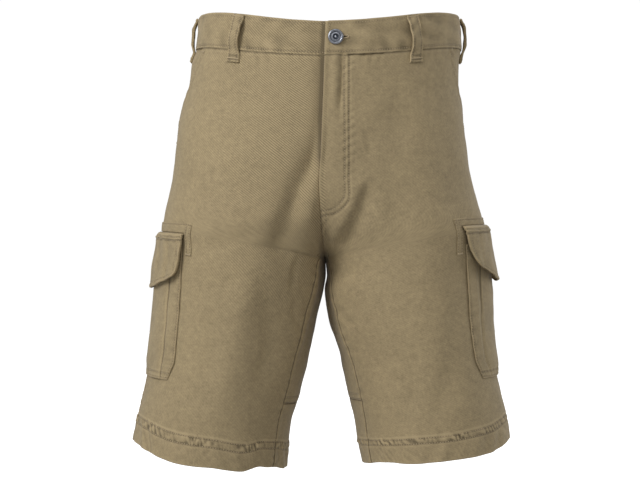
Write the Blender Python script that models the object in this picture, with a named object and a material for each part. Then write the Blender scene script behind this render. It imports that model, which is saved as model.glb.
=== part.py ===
"""Cargo shorts in their worn shape: hollow, open at the waist and at both hems.

Metres, +Z up, the front faces -Y and the wearer's left is at +X. The origin is the centre of the
waist ring, at the height of the middle of the waistband at the sides.

The whole garment is one surface. A row of it runs round one half of the body from the centre front,
over the side, to the centre back. Below the crotch the rows are closed rings round the leg. A place on
the surface is a side (RIGHT or LEFT of the wearer), a drop (how far the row's outer point lies below
the origin) and a distance along the row. Every piece is cut from this surface, or lies on it.
"""

import math

import bpy
import numpy as np
from mathutils import Vector

MM = 0.001
RIGHT, LEFT = -1, 1
SIDES = {"right": RIGHT, "left": LEFT}

# Driving sizes, in millimetres
SEAM_GAP = 0.3
GUSSET_INSET = 0.5
CLOTH = 1.5
HEM_CLOTH = 3.0
BAND_CLOTH = 3.0
WAIST_TOP = -18.7
CROTCH = 225.0
GUSSET_END = 395.0
HEM_TOP = 450.0
HEM = 474.0
LEFT_HEM = 468.5
FLY_END = 176.0
FLY_WIDTH = 42.0
POCKET_MOUTH_END = 128.0

# One row for each section of the body. rise: how far the front and the back of the row lie above
# its outer point. split: 0 where both halves are one oval, 1 where they meet only at the crotch.
SECTION_COLUMNS = (
    "drop", "front_rise", "back_rise", "dip", "front", "back", "power", "split", "right", "left"
)
SECTIONS = (
    (-18.7, -17.7, 11.0, 4.0, 118.0, 117.0, 2.20, 0.00, 147.1, 156.5),
    (19.9, -17.4, 11.0, 2.5, 121.0, 120.0, 2.22, 0.00, 150.6, 158.0),
    (34.0, -17.0, 10.0, 2.3, 123.0, 124.0, 2.24, 0.00, 155.4, 156.5),
    (62.0, -15.0, 8.0, 2.0, 126.0, 131.0, 2.28, 0.00, 159.4, 156.0),
    (83.0, -13.5, 6.0, 1.8, 127.5, 137.0, 2.32, 0.00, 165.0, 158.6),
    (111.0, -12.0, 3.0, 1.6, 128.5, 143.0, 2.36, 0.05, 171.0, 161.6),
    (146.0, -11.5, -3.0, 1.5, 128.5, 146.0, 2.34, 0.19, 174.8, 166.0),
    (181.0, -13.0, -10.0, 1.5, 126.5, 145.5, 2.24, 0.43, 180.2, 172.6),
    (205.0, -15.6, -14.5, 1.5, 124.3, 141.0, 2.16, 0.75, 185.6, 179.8),
    (218.0, -17.2, -17.0, 1.5, 123.1, 137.8, 2.13, 0.94, 188.1, 183.4),
    (225.0, -18.0, -18.0, 1.5, 122.5, 136.0, 2.12, 1.00, 189.2, 184.9),
)

# One row for each section of a leg below the crotch. inner: the leg's inner side from the middle.
LEG_COLUMNS = (
    "drop", "front_rise", "back_rise", "dip", "front", "back", "power",
    "right", "left", "right_inner", "left_inner",
)
LEGS = (
    (225.0, -18.0, -18.0, 1.5, 122.5, 136.0, 2.12, 189.2, 184.9, 0.0, 0.0),
    (245.0, -18.0, -18.0, 1.5, 120.5, 130.0, 2.08, 190.6, 186.6, -0.4, 2.3),
    (262.0, -18.0, -18.0, 1.5, 119.0, 125.5, 2.06, 192.2, 188.0, 1.9, -0.8),
    (290.0, -18.0, -17.5, 1.5, 117.0, 119.0, 2.05, 194.0, 189.3, 8.9, 2.4),
    (340.0, -17.5, -17.0, 1.5, 113.5, 112.0, 2.05, 198.4, 191.2, 18.6, 16.8),
    (385.0, -17.5, -15.5, 1.5, 111.0, 107.0, 2.05, 204.6, 197.2, 29.3, 25.9),
    (420.0, -17.5, -14.0, 1.5, 109.5, 103.5, 2.05, 212.4, 204.6, 39.7, 33.5),
    (450.0, -17.5, -13.0, 1.5, 108.5, 101.0, 2.05, 219.0, 211.4, 42.8, 38.4),
    (474.0, -17.5, -12.5, 1.5, 108.0, 100.0, 2.05, 223.7, 214.8, 45.4, 43.0),
)

# How far the centre front seam leans towards the wearer's left, by its height
LEAN_COLUMNS = ("height", "lean")
LEAN = ((20.0, 0.4), (-60.0, -2.4), (-120.0, -4.6), (-175.0, -7.2), (-225.0, -5.0), (-262.0, 0.0))
LEAN_REACH = 45.0

# Side seam: degrees behind the outermost point, by drop
SEAM_COLUMNS = ("drop", "right", "left")
SEAM_TURN = ((-20.0, 4.0, 4.0), (200.0, 3.0, 4.0), (320.0, -5.0, 3.0), (474.0, -14.0, 3.0))

# Front seam of the gusset on each leg, from the leg's innermost line, and its back seam, along the row
GUSSET_COLUMNS = ("drop", "right", "left", "back")
GUSSET = (
    (212.0, 0.0, 0.0, 0.0), (216.0, 12.0, 6.0, 6.0), (220.0, 27.5, 19.0, 14.0), (225.0, 56.0, 33.0, 38.0),
    (232.0, 67.5, 43.5, 45.0), (245.0, 69.5, 50.0, 50.0), (262.0, 70.5, 57.0, 50.0), (290.0, 71.5, 61.0, 50.0),
    (340.0, 72.0, 61.0, 50.0), (395.0, 65.5, 60.0, 50.0), (439.0, 63.5, 54.5, 50.0), (474.0, 63.0, 53.0, 50.0),
)

# Mouth of the hand pocket: how far its edge lies in front of the side seam, by drop
MOUTH_COLUMNS = ("drop", "ahead")
MOUTH = (
    (19.9, 66.0), (40.0, 61.0), (60.0, 49.0), (80.0, 34.0), (100.0, 20.0), (128.0, 5.0), (160.0, 14.0), (230.0, 30.0),
)

# Large folds. view: the side they are seen from. Each runs through the points of its path, which are
# (across, height), fades out at both ends, and sinks by its depth or stands up where depth is negative.
# left and right: its width to either hand, going along its path with the wearer's left at +across.
# The columns are view, left, right, depth and path.
FOLDS = (
    ("front", 9.0, 13.0, 7.0, ((-3, -104), (-7, -141), (-18, -163), (-29, -185), (-38, -212), (-46, -237), (-45, -262), (-42, -284))),
    ("front", 6.0, 9.0, -3.0, ((-14, -190), (-19, -215), (-22, -236), (-28, -256), (-30, -276))),
    ("front", 18.0, 16.0, -3.5, ((-80, -236), (-83, -264), (-89, -306), (-102, -355), (-113, -393), (-124, -432), (-130, -462))),
    ("front", 18.0, 18.0, 3.0, ((-58, -262), (-60, -316), (-59, -355), (-68, -400), (-74, -446))),
    ("front", 5.0, 11.0, -2.6, ((46, -165), (40, -180), (30, -205), (20, -222), (11, -238), (6, -252))),
    ("front", 13.0, 7.0, 5.0, ((50, -168), (44, -186), (36, -210), (27, -228), (18, -244), (14, -258))),
    ("front", 5.0, 13.0, -4.5, ((-4, -175), (-8, -223), (-10, -250), (-14, -295), (-25, -333), (-35, -371), (-46, -420))),
    ("front", 12.0, 5.0, -3.0, ((1, -215), (3, -264), (6, -289), (10, -306), (28, -371), (38, -408))),
    ("front", 42.0, 42.0, 4.0, ((76, 20), (76, -200), (80, -330), (86, -520))),
    ("front", 38.0, 38.0, 3.0, ((-78, 20), (-84, -110), (-86, -240))),
    ("front", 18.0, 18.0, 1.5, ((-120, -352), (-128, -396), (-134, -440))),
    ("front", 12.0, 12.0, 2.0, ((146, -300), (143, -338), (139, -385), (125, -432), (118, -462))),
    ("front", 18.0, 18.0, 1.2, ((60, -90), (74, -120), (96, -140))),
    ("back", 20.0, 16.0, 6.0, ((-14, -176), (-40, -214), (-72, -240), (-108, -252))),
    ("back", 16.0, 20.0, 5.5, ((12, -182), (42, -222), (78, -246), (116, -254))),
    ("back", 16.0, 16.0, 3.5, ((-20, -206), (-46, -250), (-70, -286))),
    ("back", 16.0, 16.0, 3.0, ((20, -214), (50, -262), (66, -300))),
    ("back", 18.0, 18.0, 2.5, ((-90, -360), (-104, -410), (-110, -470))),
    ("back", 18.0, 18.0, 2.5, ((104, -350), (112, -400), (124, -456))),
    ("back", 18.0, 18.0, 2.0, ((-70, -60), (-88, -92), (-92, -126))),
    ("back", 18.0, 18.0, 2.0, ((64, -56), (84, -86), (94, -118))),
)

# The hem's edge lifts and drops along the leg. The columns are side, angle round the leg (0 outside and
# -90 in front), spread in degrees and lift.
HEM_WAVES = (
    ("right", -131.0, 9.0, 5.6), ("right", -148.0, 13.0, 5.2), ("right", -97.0, 12.0, 1.2), ("right", -68.0, 20.0, -1.5), ("right", -24.0, 26.0, 4.2),
    ("right", 60.0, 24.0, 3.5), ("right", 130.0, 24.0, -3.0), ("left", -136.0, 24.0, 6.0),
    ("left", -96.0, 18.0, 1.5), ("left", -50.0, 20.0, -2.4), ("left", 48.0, 22.0, -3.5), ("left", 110.0, 24.0, 3.5),
)
HEM_WAVE_REACH = 70.0

# How finely the rows are measured, the drops at which the panels have a row of points
CHART_STEP = 3.0
CHART_SAMPLES = 361
CHART_CELL = 2.0
CHART_MARGIN = 130.0
ROW_DROPS = (
    19.9, 34, 52, 70, 90, 109, 128, 146, 163, 178, 192, 203, 212, 220, 225, 236, 252, 272, 296, 320,
    345, 370, 395, 416, 434, 450, 462, 474,
)
# Cells across each band of a half, and how they crowd towards its start (over 1) or its end (under 1)
BANDS = (
    ("gusset_front", 3, 1.0), ("front", 13, 1.3), ("mouth", 2, 1.0), ("back", 14, 0.77), ("gusset_back", 3, 1.0),
)

# Waistband: its rows and rounded edges, its laid-over ends and the stations along them
LAP = 1.7
BAND_LEVEL = 0.4
BAND_ROWS = (-18.7, -17.4, -9.0, -1.8, 1.8, 10.0, 18.6, 19.75)
BAND_ROUNDING = (-0.5, 0.0, 0.1, 0.1, 0.1, 0.1, 0.0, -0.4)
BAND_END = (4.0, 9.0, 15.0, 21.0, 27.0, 34.0, 41.0)
BAND_RIGHT = (0.0, 8.0, 16.0, 24.0, 34.0)
BAND_LEFT = (41.0, 50.0, 60.0, 76.0)
BAND_CELLS = 19
BAND_CORNER = 4.5
SLOT_HEIGHT = 3.6
SLOT_ENDS = (9.0, 27.0)

# Button: radius and level of each ring of its profile, from the end of the shank
BUTTON_ACROSS = 11.7
BUTTON_STEPS = 28
BUTTON_PROFILE = (
    (1.5, -0.8), (1.5, 2.8), (7.9, 2.8), (8.5, 3.3), (8.5, 4.2), (8.0, 4.9), (7.0, 5.2), (6.2, 5.0),
    (5.4, 4.6), (3.6, 4.7), (2.0, 4.9), (1.3, 4.6), (1.1, 3.8),
)

# Belt loops: how far the strip stands off along its length
LOOP_COLUMNS = ("drop", "stand")
LOOP = (
    (-18.2, 0.3), (-15.5, 0.3), (-11.5, 1.8), (-5.0, 3.4), (3.0, 3.7), (11.0, 3.4), (17.5, 2.0),
    (22.0, 0.5), (26.0, 0.0), (33.5, 0.0),
)
LOOP_LEVEL = 0.5
LOOP_WIDTH = 14.0
LOOP_CLOTH = 1.6
LOOP_FRONT = 104.0

# Fly: levels across the underlap and across the zip, measured from the centre front seam
PROFILE_COLUMNS = ("across", "level")
UNDERLAP_ROWS = (20.2, 34, 52, 70, 90, 109, 128, 146, 153)
UNDERLAP = ((-10.0, -3.3), (-3.0, -3.5), (2.0, -3.9), (10.0, -3.9), (18.0, -3.9), (27.0, -3.9), (36.0, -3.9))
ZIP_ROWS = (21.0, 34, 52, 70, 90, 109, 128, 137, 146)
ZIP = ((3.0, -2.3), (11.6, -2.3), (12.0, -0.9), (18.0, -0.9), (18.4, -2.3), (27.0, -2.3))
ZIP_BACK = -3.3

# Hand pockets: the facing seen beyond the mouth, and the bag hung inside from the waist seam
FACING_ROWS = (20.1, 34, 52, 70, 90, 109, 127.6)
FACING_LEVELS = (-3.0, -3.0, -3.0, -1.3, -0.4, 0.0)
BAG_COLUMNS = ("drop", "front", "back")
BAG = (
    (24.0, -140.0, -9.0), (52.0, -142.0, -9.0), (90.0, -144.0, -9.0), (128.0, -145.0, -9.0),
    (163.0, -145.0, -10.0), (192.0, -142.0, -14.0), (214.0, -132.0, -24.0), (228.0, -112.0, -46.0),
)
BAG_LEVEL = -6.2
BAG_CLOTH = 2.4

# Cargo pockets. Levels are above the leg. LIFT is the least gap to the leg.
LIFT = 0.4
CARGO_HALF = 99.5
CARGO_NARROW = {"right": 0.01, "left": 0.11}
CARGO_CLIP = 8.0
CARGO_CLIP_FROM = 0.87
CARGO_BOW = 5.0
CARGO_ROWS = (238.0, 248.0, 262.0, 285.0, 310.0, 335.0, 356.0, 371.0, 380.0, 386.0, 390.5)
CARGO_ACROSS = (
    -1.0, -0.96, -0.84, -0.785, -0.74, -0.6, -0.45, -0.3, -0.15, 0.0, 0.15, 0.3, 0.45, 0.6,
    0.74, 0.785, 0.84, 0.96, 1.0,
)
SWELL_COLUMNS = ("across", "level")
CARGO_SWELL = (
    (0.0, 5.0), (0.3, 4.8), (0.6, 4.2), (0.74, 3.7), (0.785, 2.3), (0.84, 3.3), (0.96, 2.6), (1.0, 1.9),
)
CARGO_EDGE = 1.9
# The flap's outline. top: drop of its top edge at its ends, BOW lower in its middle. length: in its middle,
# and how much shorter it is at its ends. slant and corner: how far its ends lean in and round off below.
FLAP_NAMES = ("top", "length", "shorter", "slant", "corner", "straight", "flare")
FLAPS = {
    "right": (226.0, 66.5, 17.5, 5.0, 8.0, 0.75, 3.0),
    "left": (218.2, 66.0, 19.5, 10.6, 13.4, 0.3, 8.0),
}
FLAP_HALF = 104.0
FLAP_BOW = 4.0
FLAP_CLOTH = 2.5
FLAP_REST = 0.6
FLAP_COLUMNS = 19
FLAP_ROWS = (0.0, 0.06, 0.14, 0.3, 0.5, 0.68, 0.82, 0.92, 0.98, 1.0)
# The strap that holds the flap: a band above it and a strip down beside each of its ends
STAY_ROWS = {"right": (214.9, 220.3, 225.6, 238.0, 250.0), "left": (209.8, 213.8, 217.8, 234.0, 249.0)}
STAY_BAND_ROWS = 2
STAY_HALF = 114.0
STAY_WIDTH = 9.4
STAY_CLOTH = 1.2
STAY_LIFT = 1.2

# Colours of the finishes: base colour, roughness, metallic
FINISHES = {
    "twill": ((0.315, 0.245, 0.150), 0.90, 0.0),
    "pocketing": ((0.330, 0.280, 0.200), 0.92, 0.0),
    "zip metal": ((0.300, 0.260, 0.180), 0.45, 0.8),
    "button metal": ((0.260, 0.270, 0.300), 0.35, 1.0),
}


# ---------------------------------------------------------------- numbers

def column(table, names, name):
    return np.array([row[names.index(name)] for row in table], float)


def smooth_between(x, xs, ys):
    """Monotone cubic through (xs, ys), flat outside them."""
    x = np.clip(x, xs[0], xs[-1])
    step, rise = np.diff(xs), np.diff(ys)
    slope = rise / step
    tangent = np.zeros(len(xs))
    tangent[0], tangent[-1] = slope[0], slope[-1]
    for i in range(1, len(xs) - 1):
        if slope[i - 1] * slope[i] > 0:
            before, after = 2 * step[i] + step[i - 1], step[i] + 2 * step[i - 1]
            tangent[i] = (before + after) / (before / slope[i - 1] + after / slope[i])
    i = np.clip(np.searchsorted(xs, x, side="right") - 1, 0, len(xs) - 2)
    t = (x - xs[i]) / step[i]
    return (
        ys[i] * (1 + 2 * t) * (1 - t) ** 2 + ys[i + 1] * t * t * (3 - 2 * t)
        + step[i] * (tangent[i] * t * (1 - t) ** 2 - tangent[i + 1] * t * t * (1 - t))
    )


def ease(x):
    x = np.clip(x, 0.0, 1.0)
    return x * x * (3 - 2 * x)


def side_name(side):
    return "right" if side == RIGHT else "left"


# ---------------------------------------------------------------- the surface

def leg_drop(side, drop):
    """A drop in the table's terms: the wearer's left leg ends a little higher."""
    below = np.maximum(drop - CROTCH, 0.0)
    stretch = 1.0 if side == RIGHT else (HEM - CROTCH) / (LEFT_HEM - CROTCH)
    return np.minimum(drop, CROTCH) + below * stretch


def read(table, names, name, drop):
    return smooth_between(drop, column(table, names, "drop"), column(table, names, name))


def section(side, drop):
    """The section's sizes at this drop, and the angle at which it meets the other half."""
    drop = np.asarray(drop, float)
    table_drop = leg_drop(side, drop)
    torso = table_drop < CROTCH
    found = {}
    for name in ("front_rise", "back_rise", "dip", "front", "back", "power", side_name(side)):
        above = read(SECTIONS, SECTION_COLUMNS, name, drop)
        below = read(LEGS, LEG_COLUMNS, name, table_drop)
        found[name] = np.where(torso, above, below)
    outer = found["outer"] = found[side_name(side)]
    split = np.clip(read(SECTIONS, SECTION_COLUMNS, "split", drop), 0, 1)
    inner = read(LEGS, LEG_COLUMNS, side_name(side) + "_inner", table_drop)
    found["inner"] = np.where(torso, -outer * (1 - split) / (1 + split), inner)
    found["end"] = np.where(torso, np.arccos(-split ** (found["power"] / 2)), math.pi)
    return found


def lean_of(height):
    heights, leans = column(LEAN, LEAN_COLUMNS, "height")[::-1], column(LEAN, LEAN_COLUMNS, "lean")[::-1]
    return np.interp(height, heights, leans)


def hem_lift(side, angle):
    lift = np.zeros_like(angle)
    for row_side, middle, spread, height in HEM_WAVES:
        if SIDES[row_side] == side:
            lift += height * np.exp(-(((np.degrees(angle) - middle) / spread) ** 2))
    return lift


def plain_point(side, drop, angle):
    """The smooth body, without folds: points (..., 3) in millimetres."""
    at = section(side, drop)
    cosine, sine = np.cos(angle), np.sin(angle)
    middle, half = (at["outer"] + at["inner"]) / 2, (at["outer"] - at["inner"]) / 2
    across = middle + half * np.sign(cosine) * np.abs(cosine) ** (2 / at["power"])
    depth = np.where(sine < 0, at["front"], at["back"])
    along = depth * np.sign(sine) * np.abs(sine) ** (2 / at["power"])
    mean_rise = (at["front_rise"] + at["back_rise"]) / 2
    turn_rise = (at["back_rise"] - at["front_rise"]) / 2
    height = (
        -drop + mean_rise - mean_rise * cosine
        + turn_rise * np.sign(sine) * np.abs(sine) ** at["dip"]
    )
    hem = HEM if side == RIGHT else LEFT_HEM
    height = height + hem_lift(side, angle) * ease((drop - hem + HEM_WAVE_REACH) / HEM_WAVE_REACH)
    across = side * across + lean_of(height) * np.exp(-((across / LEAN_REACH) ** 2)) * ease(-along / 60)
    return np.stack([across, along, height], axis=-1)


def fold_push(point):
    """How far the folds move each point of the plain surface outwards, in millimetres."""
    push = np.zeros(point.shape[:-1])
    for view, left, right, depth, path in FOLDS:
        toward = -point[..., 1] if view == "front" else point[..., 1]
        flat = point[..., [0, 2]]
        path = np.array(path, float)
        lengths = np.concatenate([[0], np.cumsum(np.linalg.norm(np.diff(path, axis=0), axis=1))])
        nearest, along = np.full(flat.shape[:-1], np.inf), np.zeros(flat.shape[:-1])
        width = np.full(flat.shape[:-1], float(left))
        for i in range(len(path) - 1):
            run = path[i + 1] - path[i]
            t = np.clip(((flat - path[i]) @ run) / (run @ run), 0, 1)
            offset = flat - path[i] - t[..., None] * run
            away = np.linalg.norm(offset, axis=-1)
            hand = run[0] * offset[..., 1] - run[1] * offset[..., 0]
            along = np.where(away < nearest, lengths[i] + t * (lengths[i + 1] - lengths[i]), along)
            width = np.where(away < nearest, np.where(hand > 0, left, right), width)
            nearest = np.minimum(away, nearest)
        share = along / lengths[-1]
        fade = ease(share / 0.3) * ease((1 - share) / 0.3)
        push -= depth * fade * np.exp(-((nearest / width) ** 2)) * ease(toward / 25)
    return push * ease(np.abs(point[..., 0] - lean_of(point[..., 2])) / 10)


def plain_normal(side, drop, angle):
    """Outward direction of the plain surface."""
    nudge = 0.004
    across = plain_point(side, drop, angle + nudge) - plain_point(side, drop, angle - nudge)
    down = plain_point(side, drop + 1.0, angle) - plain_point(side, drop - 1.0, angle)
    normal = np.cross(down, across) * side
    return normal / np.maximum(np.linalg.norm(normal, axis=-1, keepdims=True), 1e-9)


class Chart:
    """One half of the surface, measured along its rows from their front edge, in millimetres."""

    def __init__(self, side):
        self.side = side
        self.drops = np.unique(np.concatenate([np.arange(WAIST_TOP, HEM, CHART_STEP), np.array(ROW_DROPS, float)]))
        ends = section(side, self.drops)["end"]
        angles = ends[:, None] * np.linspace(-1.0, 1.0, CHART_SAMPLES)
        line = plain_point(side, np.repeat(self.drops[:, None], CHART_SAMPLES, axis=1), angles)
        steps = np.linalg.norm(np.diff(line, axis=1), axis=2)
        lengths = np.concatenate([np.zeros((len(ends), 1)), np.cumsum(steps, axis=1)], axis=1)
        self.totals = lengths[:, -1]
        turn = read(SEAM_TURN, SEAM_COLUMNS, side_name(side), self.drops)
        self.distances = np.arange(-CHART_MARGIN, self.totals.max() + CHART_MARGIN, CHART_CELL)
        self.angles, seams, sides = [], [], []
        for drop, total, length, angle, degrees in zip(self.drops, self.totals, lengths, angles, turn):
            seams.append(np.interp(math.radians(degrees), angle, length))
            sides.append(np.interp(0.0, angle, length))
            if drop >= CROTCH:
                length = np.concatenate([length[:-1] - total, length, length[1:] + total])
                angle = np.concatenate([angle[:-1] - 2 * math.pi, angle, angle[1:] + 2 * math.pi])
            self.angles.append(np.interp(self.distances, length, angle))
        self.angles, self.seams, self.sides = np.array(self.angles), np.array(seams), np.array(sides)

    def total(self, drop):
        return np.interp(drop, self.drops, self.totals)

    def seam(self, drop):
        return np.interp(drop, self.drops, self.seams)

    def outermost(self, drop):
        return np.interp(drop, self.drops, self.sides)

    def angle(self, drop, distance):
        """Angles of the places at these drops and distances."""
        drop, distance = np.broadcast_arrays(np.asarray(drop, float), np.asarray(distance, float))
        row = np.clip(np.searchsorted(self.drops, drop, side="right") - 1, 0, len(self.drops) - 2)
        down = np.clip((drop - self.drops[row]) / (self.drops[row + 1] - self.drops[row]), 0, 1)
        cell = np.clip((distance - self.distances[0]) / CHART_CELL, 0, len(self.distances) - 1.001)
        left = cell.astype(int)
        along = cell - left
        upper = self.angles[row, left] * (1 - along) + self.angles[row, left + 1] * along
        lower = self.angles[row + 1, left] * (1 - along) + self.angles[row + 1, left + 1] * along
        return upper * (1 - down) + lower * down

    def place(self, drop, distance):
        """Points and outward directions of the cloth's outer face."""
        drop, distance = np.broadcast_arrays(np.asarray(drop, float), np.asarray(distance, float))
        angle = self.angle(drop, distance)
        return folded(self.side, drop, angle), folded_normal(self.side, drop, angle)


def mouth_ahead(drop):
    """How far in front of the side seam the edge of the hand pocket lies."""
    return np.interp(drop, column(MOUTH, MOUTH_COLUMNS, "drop"), column(MOUTH, MOUTH_COLUMNS, "ahead"))


def gusset_width(drop, name):
    return read(GUSSET, GUSSET_COLUMNS, name, drop)


def folded(side, drop, angle):
    plain = plain_point(side, drop, angle)
    return plain + fold_push(plain)[..., None] * plain_normal(side, drop, angle)


def folded_normal(side, drop, angle):
    nudge = 0.012
    across = folded(side, drop, angle + nudge) - folded(side, drop, angle - nudge)
    down = folded(side, drop + 1.5, angle) - folded(side, drop - 1.5, angle)
    normal = np.cross(down, across) * side
    return normal / np.maximum(np.linalg.norm(normal, axis=-1, keepdims=True), 1e-9)


# ---------------------------------------------------------------- the body and its panels

def side_drop(side, drop):
    if side == RIGHT or drop <= CROTCH:
        return float(drop)
    return CROTCH + (drop - CROTCH) * (LEFT_HEM - CROTCH) / (HEM - CROTCH)


def panel_of(side, band, drop):
    """Which piece a cell belongs to, from its band and the drop of its middle."""
    if band.startswith("gusset"):
        return "gusset" if drop < GUSSET_END else "back_" + side_name(side)
    if band == "mouth" and drop < POCKET_MOUTH_END:
        return "facing"
    return ("back_" if band == "back" else "front_") + side_name(side)


def body_mesh(charts):
    """Points, facts of each point (side, drop, distance along its row) and labelled faces."""
    points, facts, faces, labels = [], [], [], []

    def add_point(place, fact):
        points.append(place)
        facts.append(fact)
        return len(points) - 1

    bands = [band for band, cells, _ in BANDS for _ in range(cells)]
    edges = {}
    for side in (RIGHT, LEFT):
        grid = []
        for drop in ROW_DROPS:
            chart, real_drop = charts[side], side_drop(side, drop)
            total, seam = float(chart.total(real_drop)), float(chart.seam(real_drop))
            front, back = (float(gusset_width(drop, name)) for name in (side_name(side), "back"))
            marks = (0.0, front, seam - float(mouth_ahead(drop)), seam, total - back, total)
            distances = [0.0]
            for (_, cells, crowd), start, stop in zip(BANDS, marks, marks[1:]):
                distances += list(start + (stop - start) * ((np.arange(cells) + 1) / cells) ** crowd)
            angles = chart.angle(real_drop, np.array(distances))
            end = float(section(side, real_drop)["end"])
            angles[0], angles[-1] = -end, end
            places = folded(side, np.full(len(angles), real_drop), angles)
            ids = []
            for k, (place, distance) in enumerate(zip(places, distances)):
                if ids and distance - distances[k - 1] < 1e-6:
                    ids.append(ids[-1])
                else:
                    ids.append(add_point(place, (side, drop, distance)))
            if drop > CROTCH:
                ids = share(ids, ids[-1], ids[0])
            elif side == RIGHT:
                if drop == CROTCH:
                    ids = share(ids, ids[-1], ids[0])
                edges[drop] = ids[0], ids[-1]
            else:
                ids = share(share(ids, ids[-1], edges[drop][1]), ids[0], edges[drop][0])
            grid.append(ids)
        for i, (upper, lower) in enumerate(zip(grid, grid[1:])):
            middle = (ROW_DROPS[i] + ROW_DROPS[i + 1]) / 2
            for j, band in enumerate(bands):
                quad = [upper[j], lower[j], lower[j + 1], upper[j + 1]]
                quad = [c for k, c in enumerate(quad) if c != quad[k - 1]]
                if len(set(quad)) > 2:
                    faces.append(quad[::-1] if side == RIGHT else quad)
                    labels.append(panel_of(side, band, middle))
    used = sorted({c for face in faces for c in face})
    place = {c: k for k, c in enumerate(used)}
    faces = [[place[c] for c in face] for face in faces]
    return np.array(points)[used], np.array(facts)[used], faces, labels


def share(ids, old, new):
    """The row's point numbers with one point taken for another that it coincides with."""
    return [new if k == old else k for k in ids]


def point_normals(points, faces):
    """Outward direction at each point, from the faces round it."""
    total = np.zeros_like(points)
    for face in faces:
        corners = points[face]
        area = np.zeros(3)
        for k in range(1, len(face) - 1):
            area += np.cross(corners[k] - corners[0], corners[k + 1] - corners[0])
        total[face] += area
    return total / np.maximum(np.linalg.norm(total, axis=1, keepdims=True), 1e-9)


def edge_insets(points, normals, faces, gap):
    """Moves that draw each open edge of these faces in by the gap, along the surface."""
    seen = {}
    for face in faces:
        for a, b in zip(face, face[1:] + face[:1]):
            seen[(a, b)] = seen.get((a, b), 0) + 1
    rims = [(a, b) for a, b in seen if (b, a) not in seen]
    pulls = {}
    for a, b in rims:
        run = points[b] - points[a]
        normal = normals[a] + normals[b]
        pull = np.cross(normal, run)
        pull /= np.linalg.norm(pull)
        pulls.setdefault(a, []).append(pull)
        pulls.setdefault(b, []).append(pull)
    moves = np.zeros_like(points)
    for corner, found in pulls.items():
        first, second = found[0], found[-1]
        moves[corner] = gap * (first + second) / max(1 + first @ second, 0.06)
    return moves, rims


def shell(points, normals, faces, level, thickness, gap):
    """Closed wall of the faces: outer points at the level, inner points a thickness below it."""
    moves, rims = edge_insets(points, normals, faces, gap)
    used = sorted({c for face in faces for c in face})
    outer = points + normals * level[:, None] + moves
    inner = points + normals * (level - thickness)[:, None] + moves
    place = {c: k for k, c in enumerate(used)}
    count = len(used)
    verts = np.concatenate([outer[used], inner[used]])
    sides = [[place[c] for c in face] for face in faces]
    all_faces = list(sides)
    all_faces += [[count + c for c in reversed(face)] for face in sides]
    all_faces += [[place[b], place[a], count + place[a], count + place[b]] for a, b in rims]
    return verts, all_faces


# ---------------------------------------------------------------- Blender objects

def finish_material(name):
    material = bpy.data.materials.get(name)
    if material is None:
        colour, roughness, metallic = FINISHES[name]
        material = bpy.data.materials.new(name)
        material.use_nodes = True
        shader = material.node_tree.nodes["Principled BSDF"]
        shader.inputs["Base Color"].default_value = (*colour, 1.0)
        shader.inputs["Roughness"].default_value = roughness
        shader.inputs["Metallic"].default_value = metallic
        material.diffuse_color = (*colour, 1.0)
    return material


def add_object(name, verts, faces, finish):
    """An object from points in millimetres."""
    mesh = bpy.data.meshes.new(name)
    mesh.from_pydata((np.asarray(verts) * MM).tolist(), [], [list(map(int, f)) for f in faces])
    mesh.validate()
    mesh.shade_smooth()
    mesh.set_sharp_from_angle(angle=math.radians(40))
    mesh.materials.append(finish_material(finish))
    obj = bpy.data.objects.new(name, mesh)
    bpy.data.collections["cargo_shorts"].objects.link(obj)
    return obj


def clear_scene():
    for obj in list(bpy.data.objects):
        bpy.data.objects.remove(obj, do_unlink=True)
    for name in ("cargo_shorts", "cutters"):
        collection = bpy.data.collections.new(name)
        bpy.context.scene.collection.children.link(collection)


# ---------------------------------------------------------------- the pieces

def add_panels(body):
    points, facts, faces, labels = body
    normals = point_normals(points, faces)
    sides, drops, distances = facts[:, 0], facts[:, 1], facts[:, 2]
    wall = np.where(drops >= HEM_TOP - 1, HEM_CLOTH, CLOTH)
    flat = np.zeros(len(points))
    lap = 1.7 * ease((FLY_WIDTH + 8 - distances) / FLY_WIDTH) * ease((FLY_END + 22 - drops) / 26)
    levels = {"front_left": np.where(sides == LEFT, lap, 0.0)}
    centre = np.abs(points[:, 0] - lean_of(points[:, 2])) < 0.5
    levels["front_left"][centre & (points[:, 1] < 0) & (drops < FLY_END)] = 1.7
    names = sorted(set(labels) - {"facing"})
    for name in names:
        chosen = [face for face, label in zip(faces, labels) if label == name]
        level = levels.get(name, flat)
        inset = GUSSET_INSET if name == "gusset" else SEAM_GAP / 2
        verts, walls = shell(points, normals, chosen, level, wall, inset)
        add_object(name, verts, walls, "twill")


def grid_faces(rows, columns, side):
    """Faces of a grid of points over the surface, turned to face outwards."""
    faces = []
    for i in range(rows - 1):
        for j in range(columns - 1):
            k = i * columns + j
            quad = [k, k + columns, k + columns + 1, k + 1]
            faces.append(quad[::-1] if side == RIGHT else quad)
    return faces


def add_sheet(name, chart, drops, distances, level, thickness, finish="twill", keep=None):
    """A wall over the surface. Its grids give each point's drop, distance, outer level and thickness."""
    drops, distances, level, thickness = np.broadcast_arrays(drops, distances, level, thickness)
    points, normals = chart.place(drops, distances)
    faces = grid_faces(*drops.shape, chart.side)
    if keep is not None:
        faces = [face for face, kept in zip(faces, keep.ravel()) if kept]
    verts, walls = shell(
        points.reshape(-1, 3), normals.reshape(-1, 3), faces, level.ravel(), thickness.ravel(), 0.0
    )
    return add_object(name, verts, walls, finish)


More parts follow.
